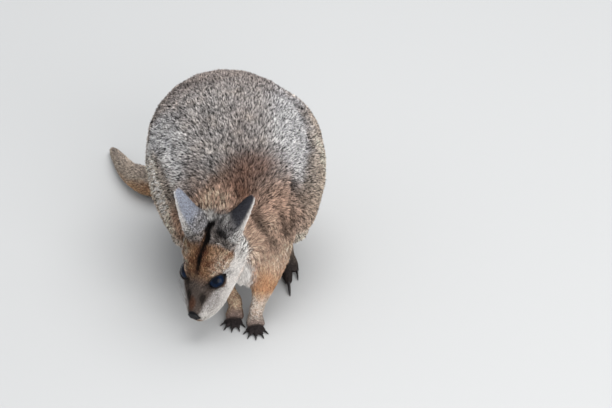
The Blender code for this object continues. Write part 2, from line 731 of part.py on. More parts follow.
def paint(obj):
    """Give the part its own material and smooth shading."""
    red, green, blue, rough = COLOURS[obj.name.split("_")[0]]
    material = bpy.data.materials.new(obj.name)
    material.use_nodes = True
    shader = material.node_tree.nodes["Principled BSDF"]
    shader.inputs["Base Color"].default_value = (red, green, blue, 1)
    shader.inputs["Roughness"].default_value = rough
    material.diffuse_color = (red, green, blue, 1)
    obj.data.materials.clear()
    obj.data.materials.append(material)
    obj.data.shade_smooth()
    obj.data.set_sharp_from_angle(angle=CREASE)


def settle(parts):
    """Stand the parts on the floor with the origin at the bottom centre of their box."""
    points = [v.co for obj in parts for v in obj.data.vertices]
    low = [min(p[k] for p in points) for k in range(3)]
    high = [max(p[k] for p in points) for k in range(3)]
    shift = Matrix.Translation((-(low[0] + high[0]) / 2, -(low[1] + high[1]) / 2, -PARE * CM))
    for obj in parts:
        obj.data.transform(shift)


def main():
    drop(*list(bpy.data.objects))
    parts = []
    torso = pared(make_torso())
    torso = part_tail(torso, parts)
    torso = part_head(torso, parts)
    for side in (1, -1):
        torso = part_arm(torso, parts, side)
    for side in (1, -1):
        torso = part_leg(torso, parts, side)
    parts.append(renamed(largest(torso), "trunk"))
    for obj in parts:
        paint(obj)
    settle(parts)


main()
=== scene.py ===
import json
import math
from functools import partial

import bmesh
import bpy
import numpy as np
from mathutils import Matrix, Vector

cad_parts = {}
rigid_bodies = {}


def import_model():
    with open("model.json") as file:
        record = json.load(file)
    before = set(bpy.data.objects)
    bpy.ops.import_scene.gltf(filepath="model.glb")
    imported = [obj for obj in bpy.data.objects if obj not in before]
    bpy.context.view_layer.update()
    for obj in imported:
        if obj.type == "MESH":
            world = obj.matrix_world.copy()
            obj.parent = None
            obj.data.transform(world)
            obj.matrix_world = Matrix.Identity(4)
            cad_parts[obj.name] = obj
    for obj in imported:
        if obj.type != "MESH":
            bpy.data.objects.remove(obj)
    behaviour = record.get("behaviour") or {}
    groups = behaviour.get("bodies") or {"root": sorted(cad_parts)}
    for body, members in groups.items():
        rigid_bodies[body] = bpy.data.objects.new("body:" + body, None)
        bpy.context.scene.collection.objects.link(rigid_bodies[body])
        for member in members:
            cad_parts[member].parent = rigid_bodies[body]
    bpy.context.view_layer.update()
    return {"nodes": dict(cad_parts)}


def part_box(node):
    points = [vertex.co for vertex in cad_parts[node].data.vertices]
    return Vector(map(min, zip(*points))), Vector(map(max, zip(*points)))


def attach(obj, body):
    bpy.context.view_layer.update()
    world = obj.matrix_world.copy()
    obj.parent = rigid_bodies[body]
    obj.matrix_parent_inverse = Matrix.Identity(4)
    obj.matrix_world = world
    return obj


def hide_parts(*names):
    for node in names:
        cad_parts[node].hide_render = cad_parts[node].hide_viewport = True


bl_info = {
    "name": "Crouching Wallaby",
    "version": (1, 0, 0),
    "blender": (4, 5, 0),
    "location": "View3D > Sidebar > Wallaby",
    "description": "One skin, a coat of tufts, eyes, nose, claws and whiskers over the solids of a crouching wallaby",
    "category": "Object",
}

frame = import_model()

# Places are in centimetres: x to the animal's left, y towards its tail, z up.
CM = 0.01
NOSE_TIP = np.array((-6.1, -2.2, 3.4))
HEAD_YAW, HEAD_DIP, HEAD_ROLL = (math.radians(a) for a in (34, 52, 2))
MIDDLE = 0.15
EYE_AT = np.array((4.96, 1.75, 0.4))
EYE_RADIUS = 1.15
EAR_ROOT = (9.2, 1.85, 1.4)
EAR_LENGTH = 6.6
EAR_LEAN = {1: (0.82, 0.42, 0.27), -1: (0.57, 0.25, 0.76)}
EAR_OPENS = {1: (0.0, 0.47, -0.88), -1: (-0.05, 0.97, 0.1)}
SIDES = {1: "left", -1: "right"}

# The way the body runs, as (x, y, z, half thickness) from nose to tail and from shoulder or hip to toe.
TRUNK_RUN = (
    (0.6, 6.3, 10.2, 3.8), (0.6, 11.0, 12.6, 7.6), (0.2, 14.0, 13.2, 9.0), (-0.4, 17.0, 13.1, 9.3),
    (-0.9, 19.8, 12.5, 8.6), (-0.5, 24.4, 9.4, 4.5), (-0.3, 25.6, 8.2, 2.6),
)
NECK_RUN = ((-3.0, 2.4, 9.6, 2.6), (-2.4, 4.2, 10.5, 3.5), (-1.3, 6.4, 11.4, 4.7), (-0.3, 9.0, 12.2, 5.6))
HEAD_RUN = ((0.3, -0.1, 0.7), (2.4, -1.0, 2.0), (5.0, -0.8, 2.9), (8.0, -0.3, 3.3), (10.4, -0.2, 2.4))
BREAST_RUN = ((-0.3, 1.9, 5.8, 1.2), (-0.1, 3.2, 6.6, 2.4), (0.4, 6.5, 9.0, 3.6))
ARM_RUN = {
    1: (
        (3.2, 9.6, 12.0, 2.6), (3.5, 7.4, 10.4, 3.1), (3.2, 4.9, 8.3, 2.6), (2.8, 3.3, 6.4, 2.0),
        (2.2, 2.0, 4.5, 1.4), (1.6, 1.4, 2.7, 0.95), (1.15, 1.1, 1.6, 0.8),
    ),
    -1: (
        (-3.4, 10.6, 11.6, 2.6), (-4.6, 9.4, 9.9, 2.7), (-4.9, 8.2, 8.0, 2.2), (-4.5, 7.0, 6.0, 1.7),
        (-2.9, 5.0, 4.0, 1.2), (-1.5, 3.4, 2.5, 0.88), (-1.05, 2.7, 1.6, 0.8),
    ),
}
HAND_RUN = {
    1: ((1.05, 1.1, 1.3, 0.7), (1.0, 0.0, 0.6, 0.8), (1.0, -1.6, 0.4, 0.9)),
    -1: ((-1.05, 2.7, 1.3, 0.7), (-1.1, 1.6, 0.6, 0.8), (-1.3, 0.1, 0.4, 0.9)),
}
THIGH_RUN = ((4.2, 20.6, 13.6, 5.4), (5.4, 17.2, 13.4, 4.8), (6.0, 13.2, 12.0, 4.2), (5.9, 6.8, 8.4, 2.0))
SHANK_RUN = ((6.0, 8.0, 7.6, 1.6), (5.8, 11.5, 6.2, 2.2), (5.5, 17.4, 4.3, 1.4), (5.4, 21.2, 1.9, 1.1))
FOOT_RUN = ((5.4, 21.5, 1.4, 1.2), (5.4, 17.5, 1.2, 1.2), (5.4, 12.0, 1.0, 1.2), (5.4, 7.3, 0.7, 0.8))
TAIL_RUN = (
    (-0.2, 21.6, 10.0, 4.0), (-0.3, 24.8, 7.6, 3.5), (-1.0, 26.8, 4.8, 3.0), (-2.9, 27.7, 2.9, 2.7),
    (-5.4, 27.5, 2.4, 2.4), (-8.1, 27.3, 2.15, 2.15), (-10.4, 28.7, 1.8, 1.8), (-12.1, 31.4, 1.35, 1.4),
    (-13.9, 37.6, 0.8, 0.75), (-14.1, 38.8, 0.6, 0.4),
)


def head_axes():
    """Unit vectors of the head: back along its long axis, to its left, and out of its crown."""
    back = np.array((
        math.sin(HEAD_YAW) * math.cos(HEAD_DIP),
        math.cos(HEAD_YAW) * math.cos(HEAD_DIP),
        math.sin(HEAD_DIP),
    ))
    level_left = np.array((math.cos(HEAD_YAW), -math.sin(HEAD_YAW), 0))
    level_up = np.cross(-back, level_left)
    left = level_left * math.cos(HEAD_ROLL) + level_up * math.sin(HEAD_ROLL)
    return np.array((back, left, np.cross(-back, left)))


HEAD_AXES = head_axes()


def on_head(back, left, up):
    """A place given in the head's own frame."""
    return NOSE_TIP + np.array((back, left, up)) @ HEAD_AXES


def in_head(places):
    """Places as (back from the nose tip, to the left, up from the long axis) columns."""
    return (places - NOSE_TIP) @ HEAD_AXES.T


def box_middle(node):
    low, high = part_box(node)
    return np.array(low + high) / 2 / CM


SHIFT = box_middle("eye_left") - on_head(*EYE_AT)


# ---------------------------------------------------------------- properties


def tint(name, about, colour):
    return bpy.props.FloatVectorProperty(
        name=name, description=about, default=colour, size=3, min=0, max=1, subtype="COLOR"
    )


def number(name, about, default, low=0.0, **more):
    return bpy.props.FloatProperty(name=name, description=about, default=default, min=low, **more)


class WallabyColours(bpy.types.PropertyGroup):
    """The coat's colours, as one clean hair would show them, some with painted sheen and painted shade in them."""

    grey: tint("Grey", "Back and rump", (0.37, 0.345, 0.33))
    mid_back: tint("Mid back", "Darker band along the spine", (0.23, 0.195, 0.18))
    # Painted sheen: the pale blue-grey stands for sky light reflected off the upper flanks.
    flank_sheen: tint("Flank sheen", "Pale blue-grey upper flank", (0.54, 0.53, 0.54))
    tan: tint("Tan", "Lower flank and outer thigh", (0.42, 0.34, 0.27))
    rufous: tint("Rufous", "Shoulders and neck", (0.26, 0.16, 0.112))
    shoulder: tint("Shoulder", "Paler side of the shoulder and neck", (0.52, 0.35, 0.26))
    nape: tint("Nape", "Dark brown between the ears and the shoulders", (0.145, 0.06, 0.033))
    orange: tint("Orange", "Elbow and forearm", (0.58, 0.295, 0.155))
    cream: tint("Cream", "Wrists, chest and the insides of the legs", (0.74, 0.65, 0.55))
    belly: tint("Belly", "Pale underside", (0.52, 0.48, 0.42))
    white: tint("White", "Cheek stripe, throat and ear rims", (0.80, 0.76, 0.72))
    cheek: tint("Cheek", "Shaded side of the cheek", (0.62, 0.55, 0.52))
    brow: tint("Brow", "Pale patch over the eye", (0.72, 0.52, 0.39))
    crown: tint("Crown", "Forehead and crown", (0.36, 0.21, 0.115))
    stripe: tint("Stripe", "Dark line down the middle of the head", (0.004, 0.003, 0.0025))
    muzzle: tint("Muzzle", "Upper and side muzzle", (0.12, 0.10, 0.09))
    # Painted shade and sheen: the two ears' backs are one coat in a shaded and a lit copy, the left painted darker as
    # shade, the right painted paler as sheen of the sky.
    ear_back: tint("Ear back", "Back of the left ear", (0.05, 0.05, 0.06))
    ear_sheen: tint("Ear sheen", "Back of the right ear, worn paler", (0.33, 0.35, 0.41))
    ear_inside: tint("Ear inside", "Thin-haired inside of the ears", (0.42, 0.29, 0.25))
    paw: tint("Paw", "Backs of the forepaws", (0.34, 0.25, 0.22))
    toes: tint("Toes", "Fingers and toes", (0.045, 0.036, 0.036))
    lid: tint("Lid", "Bare rims of the eyelids", (0.012, 0.01, 0.01))
    # Iris: dark, partly its own colour and partly a painted blue reflection of the sky.
    eye: tint("Eye", "Iris", (0.0015, 0.007, 0.022))
    nose: tint("Nose", "Nose pad", (0.007, 0.007, 0.008))
    claw: tint("Claw", "Horn", (0.014, 0.012, 0.012))
    # Painted shade: the skin under the coat is painted dark to stand for the shadow between the hairs.
    coat_shade_skin: tint("Hidden skin", "Skin seen only between the hairs", (0.12, 0.105, 0.10))
    floor: tint("Floor", "Plain pale floor", (0.52, 0.52, 0.515))


class WallabyCoat(bpy.types.PropertyGroup):
    """Sizes of the coat."""

    depth: number(
        "Depth", "How far the skin of the back lies under the tips of the coat", 0.003, 0.001, max=0.01, unit="LENGTH"
    )
    length: number("Length", "Length of a lock on the back", 0.0066, 0.004, max=0.03, unit="LENGTH")
    lift: number("Lift", "How high a lock stands over the skin, as a share of its length", 1.0, 0.2, max=3.0)
    scatter: number(
        "Scatter", "How far locks turn away from the lie of the coat", math.radians(28), max=1.5, subtype="ANGLE"
    )
    fullness: number("Fullness", "Share of the full number of locks", 1.0, 0.05, max=1.2)
    seed: bpy.props.IntProperty(name="Seed", description="Where the locks fall", default=7, min=0)


class WallabySkin(bpy.types.PropertyGroup):
    """Sizes of the skin."""

    grain: number(
        "Grain", "Size of the cells in which the solids are made one", 0.0013, 0.0008, max=0.004, unit="LENGTH"
    )
    faces: bpy.props.IntProperty(
        name="Faces", description="Triangles of the skin before the face is refined", default=120000, min=20000
    )


class WallabyStage(bpy.types.PropertyGroup):
    """Light and camera."""

    key_power: number("Key power", "Large soft light overhead", 49.0, unit="POWER")
    fill_power: number("Fill power", "Soft light from the front", 44.0, unit="POWER")
    sky: number("Sky", "Even light from all round", 0.72)
    lens: number("Lens", "Focal length", 125.4, 10, subtype="DISTANCE_CAMERA")
    distance: number("Distance", "From the camera to its aim", 2.6, 0.2, unit="LENGTH")


# ---------------------------------------------------------------- working on surfaces


def unit(vectors):
    return vectors / np.maximum(np.linalg.norm(vectors, axis=-1, keepdims=True), 1e-9)


def ramp(low, high, x):
    """0 below low, 1 above high, smooth between."""
    t = np.clip((x - low) / (high - low), 0, 1)
    return t * t * (3 - 2 * t)


def bump(x, middle, width):
    return np.exp(-(((x - middle) / width) ** 2))


def wobble(p, size, seed):
    """Slow uneven waves between -1 and 1 that make the edges of markings irregular."""
    draw = np.random.default_rng(seed)
    total = np.zeros(len(p))
    for _ in range(5):
        way = unit(draw.normal(size=3)) * draw.uniform(0.7, 1.6) * 2 * math.pi / size
        total += np.sin(p @ way + draw.uniform(0, 2 * math.pi))
    return total / 5


def read_places(mesh):
    co = np.empty(len(mesh.vertices) * 3)
    mesh.vertices.foreach_get("co", co)
    return co.reshape(-1, 3) / CM - SHIFT


def write_places(mesh, places):
    mesh.vertices.foreach_set("co", ((places + SHIFT) * CM).ravel())
    mesh.update()


def read_normals(mesh):
    way = np.empty(len(mesh.vertices) * 3, np.float32)
    mesh.vertex_normals.foreach_get("vector", way)
    return way.reshape(-1, 3).astype(float)


def read_edges(mesh):
    ends = np.empty(len(mesh.edges) * 2, np.int32)
    mesh.edges.foreach_get("vertices", ends)
    return ends.reshape(-1, 2)


def evened(values, edges, rounds, share):
    """Each value drawn towards the mean of its neighbours'. share may be one number or one for each vertex."""
    values = values.copy()
    size = len(values)
    count = np.maximum(np.bincount(edges.ravel(), minlength=size), 1)
    share = np.broadcast_to(np.asarray(share, float).reshape(-1), (size,))
    for _ in range(rounds):
        for k in range(values.shape[1]):
            column = values[:, k]
            mean = np.bincount(edges[:, 0], column[edges[:, 1]], size)
            mean += np.bincount(edges[:, 1], column[edges[:, 0]], size)
            values[:, k] += (mean / count - column) * share
    return values


def to_run(p, run):
    """For each place: how far outside the run's thickness it lies, and which way the run goes there."""
    best = np.full(len(p), 1e9)
    total = np.zeros((len(p), 3))
    weight = np.zeros(len(p))
    for a, b in zip(run, run[1:]):
        start, end = np.array(a[:3]), np.array(b[:3])
        way = end - start
        t = np.clip((p - start) @ way / (way @ way), 0, 1)
        gap = np.linalg.norm(p - start - t[:, None] * way, axis=1) - (a[3] + (b[3] - a[3]) * t)
        near = np.exp(-np.maximum(gap - gap.min(), 0) / 0.8)
        total += near[:, None] * unit(way)
        weight += near
        best = np.minimum(best, gap)
    return best, total / np.maximum(weight, 1e-12)[:, None]


def mirrored(run, side):
    return tuple((MIDDLE + side * (x - MIDDLE), *rest) for x, *rest in run)


def ear_frame(side):
    """The ear's root, its unit axis to the tip, the way its mouth opens, and across."""
    axis = unit(np.array(EAR_LEAN[side]) * (1, side, 1) @ HEAD_AXES)
    opens = np.array(EAR_OPENS[side]) * (1, side, 1) @ HEAD_AXES
    opens = unit(opens - axis * (axis @ opens))
    root = on_head(EAR_ROOT[0], EAR_ROOT[1] * side, EAR_ROOT[2])
    return root, axis, opens, np.cross(axis, opens)


def ear_run(side):
    root, axis, opens, _ = ear_frame(side)
    return tuple(
        (*(root + axis * EAR_LENGTH * t - opens * sag), half)
        for t, half, sag in ((0.1, 1.2, 0.4), (0.4, 1.2, 0.7), (0.8, 0.8, 0.5), (1.0, 0.3, 0.2))
    )


def runs():
    """Every part of the body that has its own lie of coat."""
    head = tuple((*on_head(back, 0, rise), half) for back, rise, half in HEAD_RUN)
    made = {"trunk": TRUNK_RUN, "neck": NECK_RUN, "breast": BREAST_RUN, "head": head, "tail": TAIL_RUN}
    for side, label in SIDES.items():
        made["arm_" + label] = ARM_RUN[side]
        made["hand_" + label] = HAND_RUN[side]
        made["thigh_" + label] = mirrored(THIGH_RUN, side)
        made["shank_" + label] = mirrored(SHANK_RUN, side)
        made["foot_" + label] = mirrored(FOOT_RUN, side)
        made["ear_" + label] = ear_run(side)
    return made


class Regions:
    """How much each place belongs to each part of the body, and the way that each part runs there."""

    def __init__(self, p, soft=0.35):
        names = list(runs())
        gaps, ways = zip(*(to_run(p, run) for run in runs().values()))
        gaps = np.array(gaps)
        for side, label in SIDES.items():
            root, axis, _, _ = ear_frame(side)
            rise = (p - root) @ axis
            gaps[names.index("ear_" + label)] += 4 * (1 - ramp(0.5, 1.3, rise))
        gaps -= gaps.min(0)
        share = np.exp(-gaps / soft)
        share /= share.sum(0)
        self.share = dict(zip(names, share))
        self.way = dict(zip(names, ways))

    def of(self, stem):
        """Share of all parts whose name begins with the stem."""
        return sum(v for k, v in self.share.items() if k.startswith(stem))


# ---------------------------------------------------------------- the eyes' openings

EYE_OUT = {1: (-0.10, 0.27, 0.96), -1: (-0.08, 0.50, 0.86)}
EYE_SLIT = (0.77, 0.62, -0.13)
EYE_HALF_LENGTH, EYE_TOP, EYE_LOW = 74, 13, 40


def eye_frame(side):
    """Middle of the eye, the way it looks, along its slit towards the outer corner, and up across the slit."""
    out = unit(np.array(EYE_OUT[side]) * (1, side, 1) @ HEAD_AXES)
    slit = np.array(EYE_SLIT) * (1, side, 1) @ HEAD_AXES
    slit = unit(slit - out * (out @ slit))
    over = np.cross(out, slit)
    if over @ HEAD_AXES[2] < 0:
        over = -over
    return on_head(EYE_AT[0], EYE_AT[1] * side, EYE_AT[2]), out, slit, over


def lid_margin(p, side):
    """How far outside the lids' opening each place lies, its distance, and how far over the slit, in degrees."""
    middle, out, slit, over = eye_frame(side)
    away = p - middle
    reach = np.linalg.norm(away, axis=1)
    way = away / np.maximum(reach, 1e-6)[:, None]
    along = np.degrees(np.arcsin(np.clip(way @ slit, -1, 1)))
    across = np.degrees(np.arctan2(way @ over, way @ out))
    t = np.clip(np.abs(along) / EYE_HALF_LENGTH, 0, 1)
    top = EYE_TOP * (1 - t**2) ** 0.8
    low = -EYE_LOW * (1 - t**2.2) ** 0.6
    margin = np.maximum(np.maximum(across - top, low - across), np.abs(along) - EYE_HALF_LENGTH)
    return margin, reach, across


# ---------------------------------------------------------------- folds

# Folds of the loose coat: (half width, depth, strength of the painted shade in the crease, places), in centimetres.
FOLDS = (
    (0.50, 0.35, 0.95, ((1.3, 3.2, 12.6), (2.1, 3.5, 10.9), (2.8, 3.1, 10.2), (3.8, 2.6, 9.1))),
    (0.50, 0.40, 0.95, ((5.9, 7.6, 13.9), (6.2, 7.3, 13.3), (6.7, 7.3, 12.6), (7.1, 7.0, 11.9))),
    (0.42, 0.35, 0.95, ((5.6, 6.3, 12.6), (5.7, 6.1, 12.1), (6.1, 5.8, 11.3), (5.9, 5.3, 10.8))),
    (0.42, 0.30, 0.95, ((4.5, 4.7, 11.9), (4.7, 4.5, 11.4), (5.0, 4.2, 10.8), (5.3, 4.1, 10.0))),
    (0.50, 0.25, 0.55, (
        (4.9, 16.8, 20.6), (6.7, 17.3, 19.3), (8.0, 15.7, 18.3), (8.4, 13.5, 17.2), (8.4, 11.3, 15.9),
        (8.1, 9.4, 14.5), (7.5, 8.2, 13.3),
    )),
    (0.40, 0.20, 0.50, ((-9.4, 13.6, 15.8), (-8.6, 10.6, 14.6), (-7.8, 8.7, 13.2), (-6.8, 7.4, 11.6))),
)


def folds(p):
    """How deep the folds press the coat in at each place, and how strong the painted shade in their creases is there.
    """
    press, shade = np.zeros(len(p)), np.zeros(len(p))
    for half, deep, dark, line in FOLDS:
        gap = to_run(p, [(*place, 0.0) for place in line])[0]
        inside = bump(np.maximum(gap - 0.3, 0), 0, half)
        press = np.maximum(press, deep * inside)
        # Painted shade: the darkening along each fold's crease.
        shade = np.maximum(shade, dark * inside)
    return press, shade


# ---------------------------------------------------------------- markings


def blotch(p, middle, radii, soft=0.5):
    """1 inside an oval place on the body, falling to 0 outside it."""
    far = np.linalg.norm((p - np.array(middle)) / np.array(radii), axis=1)
    return 1 - ramp(1 - soft, 1 + soft, far)


# Lines of the face and the markings, each as places along and the line's height or width there, in centimetres.
# How low the lips meet, going back:
MOUTH = ((0.0, 0.6, 1.5, 3.0, 4.3), (-0.5, -0.8, -1.35, -1.8, -2.1))
# Height of the upper edge of the tan on the left thigh, going back:
HIP_LINE = ((6.7, 7.7, 9.4, 11.2, 13.5, 16, 18.8), (11.7, 12.9, 14.5, 16, 17.2, 18.4, 18.9))
# How far to the left of the middle the head's dark line runs, going back:
STRIPE_RUN = ((1.5, 5.6, 6.45, 7.6, 8.9, 9.9, 10.9, 12.0), (0.0, 0.0, -0.05, 0.06, 0.3, 0.0, -0.1, 0.1))
# Height of the cheek stripe's upper edge, and how far out it begins on the muzzle, going back:
PALE_EDGE = (
    (0.5, 0.82, 1.73, 2.85, 3.76, 4.18, 5.17, 5.95, 6.91, 7.42, 8.12, 8.6, 9.2, 10.5),
    (-0.3, -0.1, -0.1, 0.1, 0.5, 0.6, 0.7, 1.05, 1.2, 1.12, 1.13, 1.3, 1.1, 1.4),
)
PALE_BRINK = ((0.5, 0.82, 1.73, 2.85, 3.76, 4.3, 4.6), (0.66, 0.84, 1.15, 1.68, 2.15, 2.7, 9.0))
# Half width of an ear up its length, and the share of it on the inner side:
EAR_HALF = ((0.12, 0.3, 0.5, 0.7, 0.86, 0.96, 1.0), (1.55, 1.8, 1.72, 1.45, 1.1, 0.68, 0.38))
EAR_INNER = ((0.12, 0.3, 0.5, 0.7, 0.86, 1.0), (1.0, 0.81, 0.5, 0.42, 0.55, 1.0))
# The pale line over the right thigh, as (x, y, z, half width).
PALE_STRIP = ((-9.7, 13.4, 14.5, 0.8), (-9.2, 10.4, 13.0, 0.8), (-8.6, 8.5, 11.5, 0.8), (-7.9, 7.2, 9.4, 0.8))


def nose_pad(back, aside, up):
    """1 on the bare pad of the nose, whose upper edge is rounded."""
    return (1 - ramp(0.76, 0.90, back + 0.7 * aside**2)) * ramp(-0.5, -0.25, up)


def mark_back(p, hue, lay, oval, x, y, z, side, uneven, fine, under, body, trunk, arm, shank, colour, **_):
    """Back, flanks and belly, with painted sheen on the upper flanks and some painted shade over the rump."""
    spine = bump(x, 0.2 + 0.10 * (y - 6.5), 2.0 + 0.5 * uneven)
    lay(hue.mid_back, 0.55 * spine * (1 - ramp(10, 19, y)) * ramp(13, 16, z) * body)
    # Darker over the top of the rump, set against the overhead key light: partly the coat's darker back, partly
    # painted shade.
    lay(hue.mid_back, 0.9 * ramp(13.5, 19.5, y) * ramp(12, 18, z) * body)
    # Painted sheen of reflected sky light on the upper flanks, left and right.
    lay(hue.flank_sheen, 0.85 * oval((6.4, 12.6, 18.4), (2.2, 6.5, 4.2), 0.6) * body)
    lay(hue.flank_sheen, 0.95 * oval((-8.2, 12.2, 15.6), (2.6, 4.6, 4.2), 0.5) * body)
    low = 1 - ramp(12.0, 15.4, z - 0.25 * (y - 12) + 0.7 * uneven)
    lay(hue.tan, 0.85 * low * ramp(5.0, 7.4, side) * body)
    lay(hue.tan, 0.75 * oval((-8.8, 10.0, 12.4), (1.8, 4.6, 3.6), 0.5) * body)
    lay(hue.orange, 0.55 * oval((-7.6, 6.6, 10.0), (1.8, 1.8, 2.6), 0.6) * (body + shank))
    lay(hue.mid_back, 0.6 * oval((-4.9, 7.9, 15.0), (1.8, 1.6, 2.2), 0.5) * body)
    strip = to_run(p, PALE_STRIP)[0]
    lay(hue.cream, 0.7 * (1 - ramp(-0.2, 0.7, strip)) * (body + arm))
    hip = 0.6 * fine + (np.interp(y, *HIP_LINE) - z) * (x > 3)
    lay(hue.tan, 0.7 * ramp(-0.3, 1.4, hip) * body)
    colour *= (1 + 0.18 * wobble(p, 6.5, 11) + 0.12 * fine)[:, None]
    underside = (1 - ramp(5.5, 8.0, z + 0.5 * uneven)) * (1 - ramp(4.0, 7.0, side) * ramp(6, 8, z))
    lay(hue.belly, underside * trunk)
    lay(hue.belly, ramp(0.35, 0.8, under) * trunk)


def mark_shoulders(
    hue, lay, oval, x, y, z, uneven, fine, under, body, trunk, thigh, neck, breast, arm, fleck, **_
):
    """Shoulders, throat and nape."""
    edge = 6.2 + 0.18 * (17 - z) + 0.7 * uneven + 0.6 * fine
    shoulder = 1 - ramp(-1.4, 2.0, y - edge)
    shoulder *= trunk + neck + arm + 0.6 * thigh * (1 - ramp(12, 14, z))
    lay(hue.rufous, 0.88 * shoulder * (1 - 0.5 * ramp(0.2, 0.9, under)))
    flank = oval((4.6, 5.6, 12.6), (2.8, 2.6, 2.6), 0.5)
    fore = trunk + arm + neck
    lay(hue.brow, 0.5 * oval((2.6, 3.4, 10.4), (1.4, 1.6, 1.8), 0.5) * fore)
    lay(hue.shoulder, 0.55 * flank * fore)
    throat = ramp(-0.3, 0.9, x + 0.3 * (z - 8) + 0.3 * fine)
    throat_side = throat * (1 - ramp(2.8, 4.4, y)) * (1 - ramp(12.4, 13.6, z))
    lay(hue.shoulder, 0.9 * throat_side * (neck + breast + trunk + arm))
    lay(hue.nape, 0.75 * oval((-0.3, 4.7, 15.1), (1.5, 1.9, 1.6), 0.7))
    lay(hue.shoulder, 0.8 * oval((-3.9, 4.4, 14.1), (1.7, 1.6, 1.6), 0.6))
    lay(hue.muzzle, 0.35 * oval((1.4, 7.0, 16.2), (4.2, 2.6, 3.0), 0.6) * body)
    lay(hue.shoulder, 0.9 * oval((-2.9, 3.9, 14.4), (1.9, 1.6, 1.4), 0.6))
    lay(hue.nape, 0.55 * oval((1.4, 6.6, 16.8), (2.2, 2.0, 1.5), 0.6))
    fleck *= 1 - 0.1 * shoulder
    lay(hue.cream, 0.8 * ramp(0.3, 0.9, under) * (neck + arm) * (z < 12))
    front = (breast + neck + 0.8 * trunk) * (1 - ramp(10.5, 12.0, z))
    front *= (1 - ramp(3.6, 5.4, y)) * ramp(-4.4, -3.4, x)
    front *= 1 - ramp(-0.5, 0.9, x + 0.3 * (z - 8) + 0.3 * fine)
    lay(hue.white, 0.85 * front)
    fleck *= 1 - 0.75 * np.clip(front, 0, 1) - 0.4 * throat_side * (1 - np.clip(front, 0, 1))


def mark_tail(normal, part, hue, lay, x, y, under, fleck, **_):
    """Tail."""
    tail = part.of("tail") * ramp(20, 25, y + 0.6 * (-x))
    outer = np.clip(-0.75 * normal[:, 1] - 0.45 * normal[:, 0] - 0.25 * normal[:, 2] + 0.05, 0, 1)
    lay(hue.orange, 0.8 * tail * ramp(0.60, 0.92, outer) * ramp(3, 6, -x))
    above = ramp(0.0, 0.6, normal[:, 2] + 0.7 * normal[:, 0])
    lay(hue.muzzle, 0.6 * tail * ramp(11.5, 14.0, -x) * above)
    lay(hue.mid_back, 0.35 * tail * above * (1 - ramp(10.0, 12.0, -x)))
    lay(hue.cream, 0.5 * tail * ramp(0.4, 0.9, under))
    fleck *= 1 - 0.35 * tail


def mark_limbs(hue, lay, oval, x, y, z, fine, under, arm, hand, shank, foot, fleck, **_):
    """Arms and legs, down to the toes."""
    wrist = np.where(x > 0, 0.95, 0.3)  # the right wrist is duller
    low_arm = 1 - ramp(6.0, 8.4, z + 0.5 * fine)
    lay(hue.orange, 0.9 * arm * low_arm)
    lay(hue.brow, 0.75 * arm * oval((4.8, 3.2, 7.2), (2.2, 2.6, 2.2), 0.6))
    lay(hue.cream, wrist * arm * (1 - ramp(2.6, 4.6, z + 0.4 * fine)))
    fleck *= 1 - arm * (0.15 + 0.25 * (1 - ramp(5, 9, z)))
    ahead = np.where(x > 0, HAND_RUN[1][0][1], HAND_RUN[-1][0][1]) - y + 0.15 * fine
    lay(hue.orange, 0.85 * hand)
    lay(hue.cream, wrist * hand)
    lay(hue.paw, 0.9 * hand * ramp(0.7, 1.3, ahead))
    lay(hue.toes, hand * np.maximum(ramp(1.5, 2.0, ahead), 1 - ramp(0.3, 0.6, z)))
    # legs
    lay(hue.tan, 0.9 * shank)
    lay(hue.cream, 0.7 * shank * ramp(0.2, 0.9, under))
    lay(hue.rufous, 0.7 * foot)
    lay(hue.tan, 0.5 * foot)
    lay(hue.toes, foot * (1 - ramp(9.6, 13.0, y + 0.6 * fine)) * 0.92)
    lay(hue.toes, foot * (1 - ramp(0.25, 0.7, z)))
    fleck *= 1 - 0.4 * (foot + hand)


def mark_crown(hue, lay, on_face, on_crown, fine, mottle, neck, head, back, left, up, aside, **_):
    """Crown, dark line and top of the muzzle."""
    lay(hue.crown, head)
    lay(hue.brow, 0.15 * head * ramp(5.0, 6.0, back) * ramp(0.9, 1.5, aside + 0.3 * fine))
    lay(hue.nape, 0.8 * head * bump(back, 7.0, 2.2) * (1 - ramp(0.3, 1.3, aside + 0.2 * fine)))
    grizzle = ramp(7.9, 8.6, back + 0.3 * fine + 0.3 * (left < 0)) * ramp(0.2, 0.6, aside)
    lay(hue.grey, 0.85 * head * grizzle)
    lay(hue.brow, 0.95 * head * on_face((6.0, 2.3, 1.6), (1.7, 1.0, 0.8), 0.6))
    lay(hue.stripe, 0.75 * head * grizzle * ramp(0.05, 0.4, mottle))
    lay(hue.nape, 0.8 * head * (1 - grizzle) * ramp(-0.1, 0.35, mottle) * ramp(3, 5, back))
    dark = 0.10 + 0.26 * ramp(7.0, 10.0, back) + 0.06 * fine
    middle = np.interp(back, *STRIPE_RUN)
    line = 1 - ramp(dark, dark + 0.34, np.abs(left - middle))
    upper = (head + neck) * (1 - ramp(10.9, 11.9, back)) * ramp(0.6, 1.4, up)
    lay(hue.stripe, 0.97 * upper * line * ramp(3.8, 5.6, back))
    lay(hue.muzzle, 0.92 * head * (1 - ramp(3.6, 5.2, back + 0.25 * fine)) * ramp(-0.6, 0.2, up))
    lay(hue.nape, 0.8 * head * on_crown((1.6, -0.35, 0.6), (0.9, 0.45, 0.5), 0.5))
    lay(hue.stripe, 0.75 * head * on_face((2.5, 0.85, 0.75), (1.0, 0.36, 0.5), 0.5))
    return {"grizzle": grizzle, "upper": upper, "line": line}


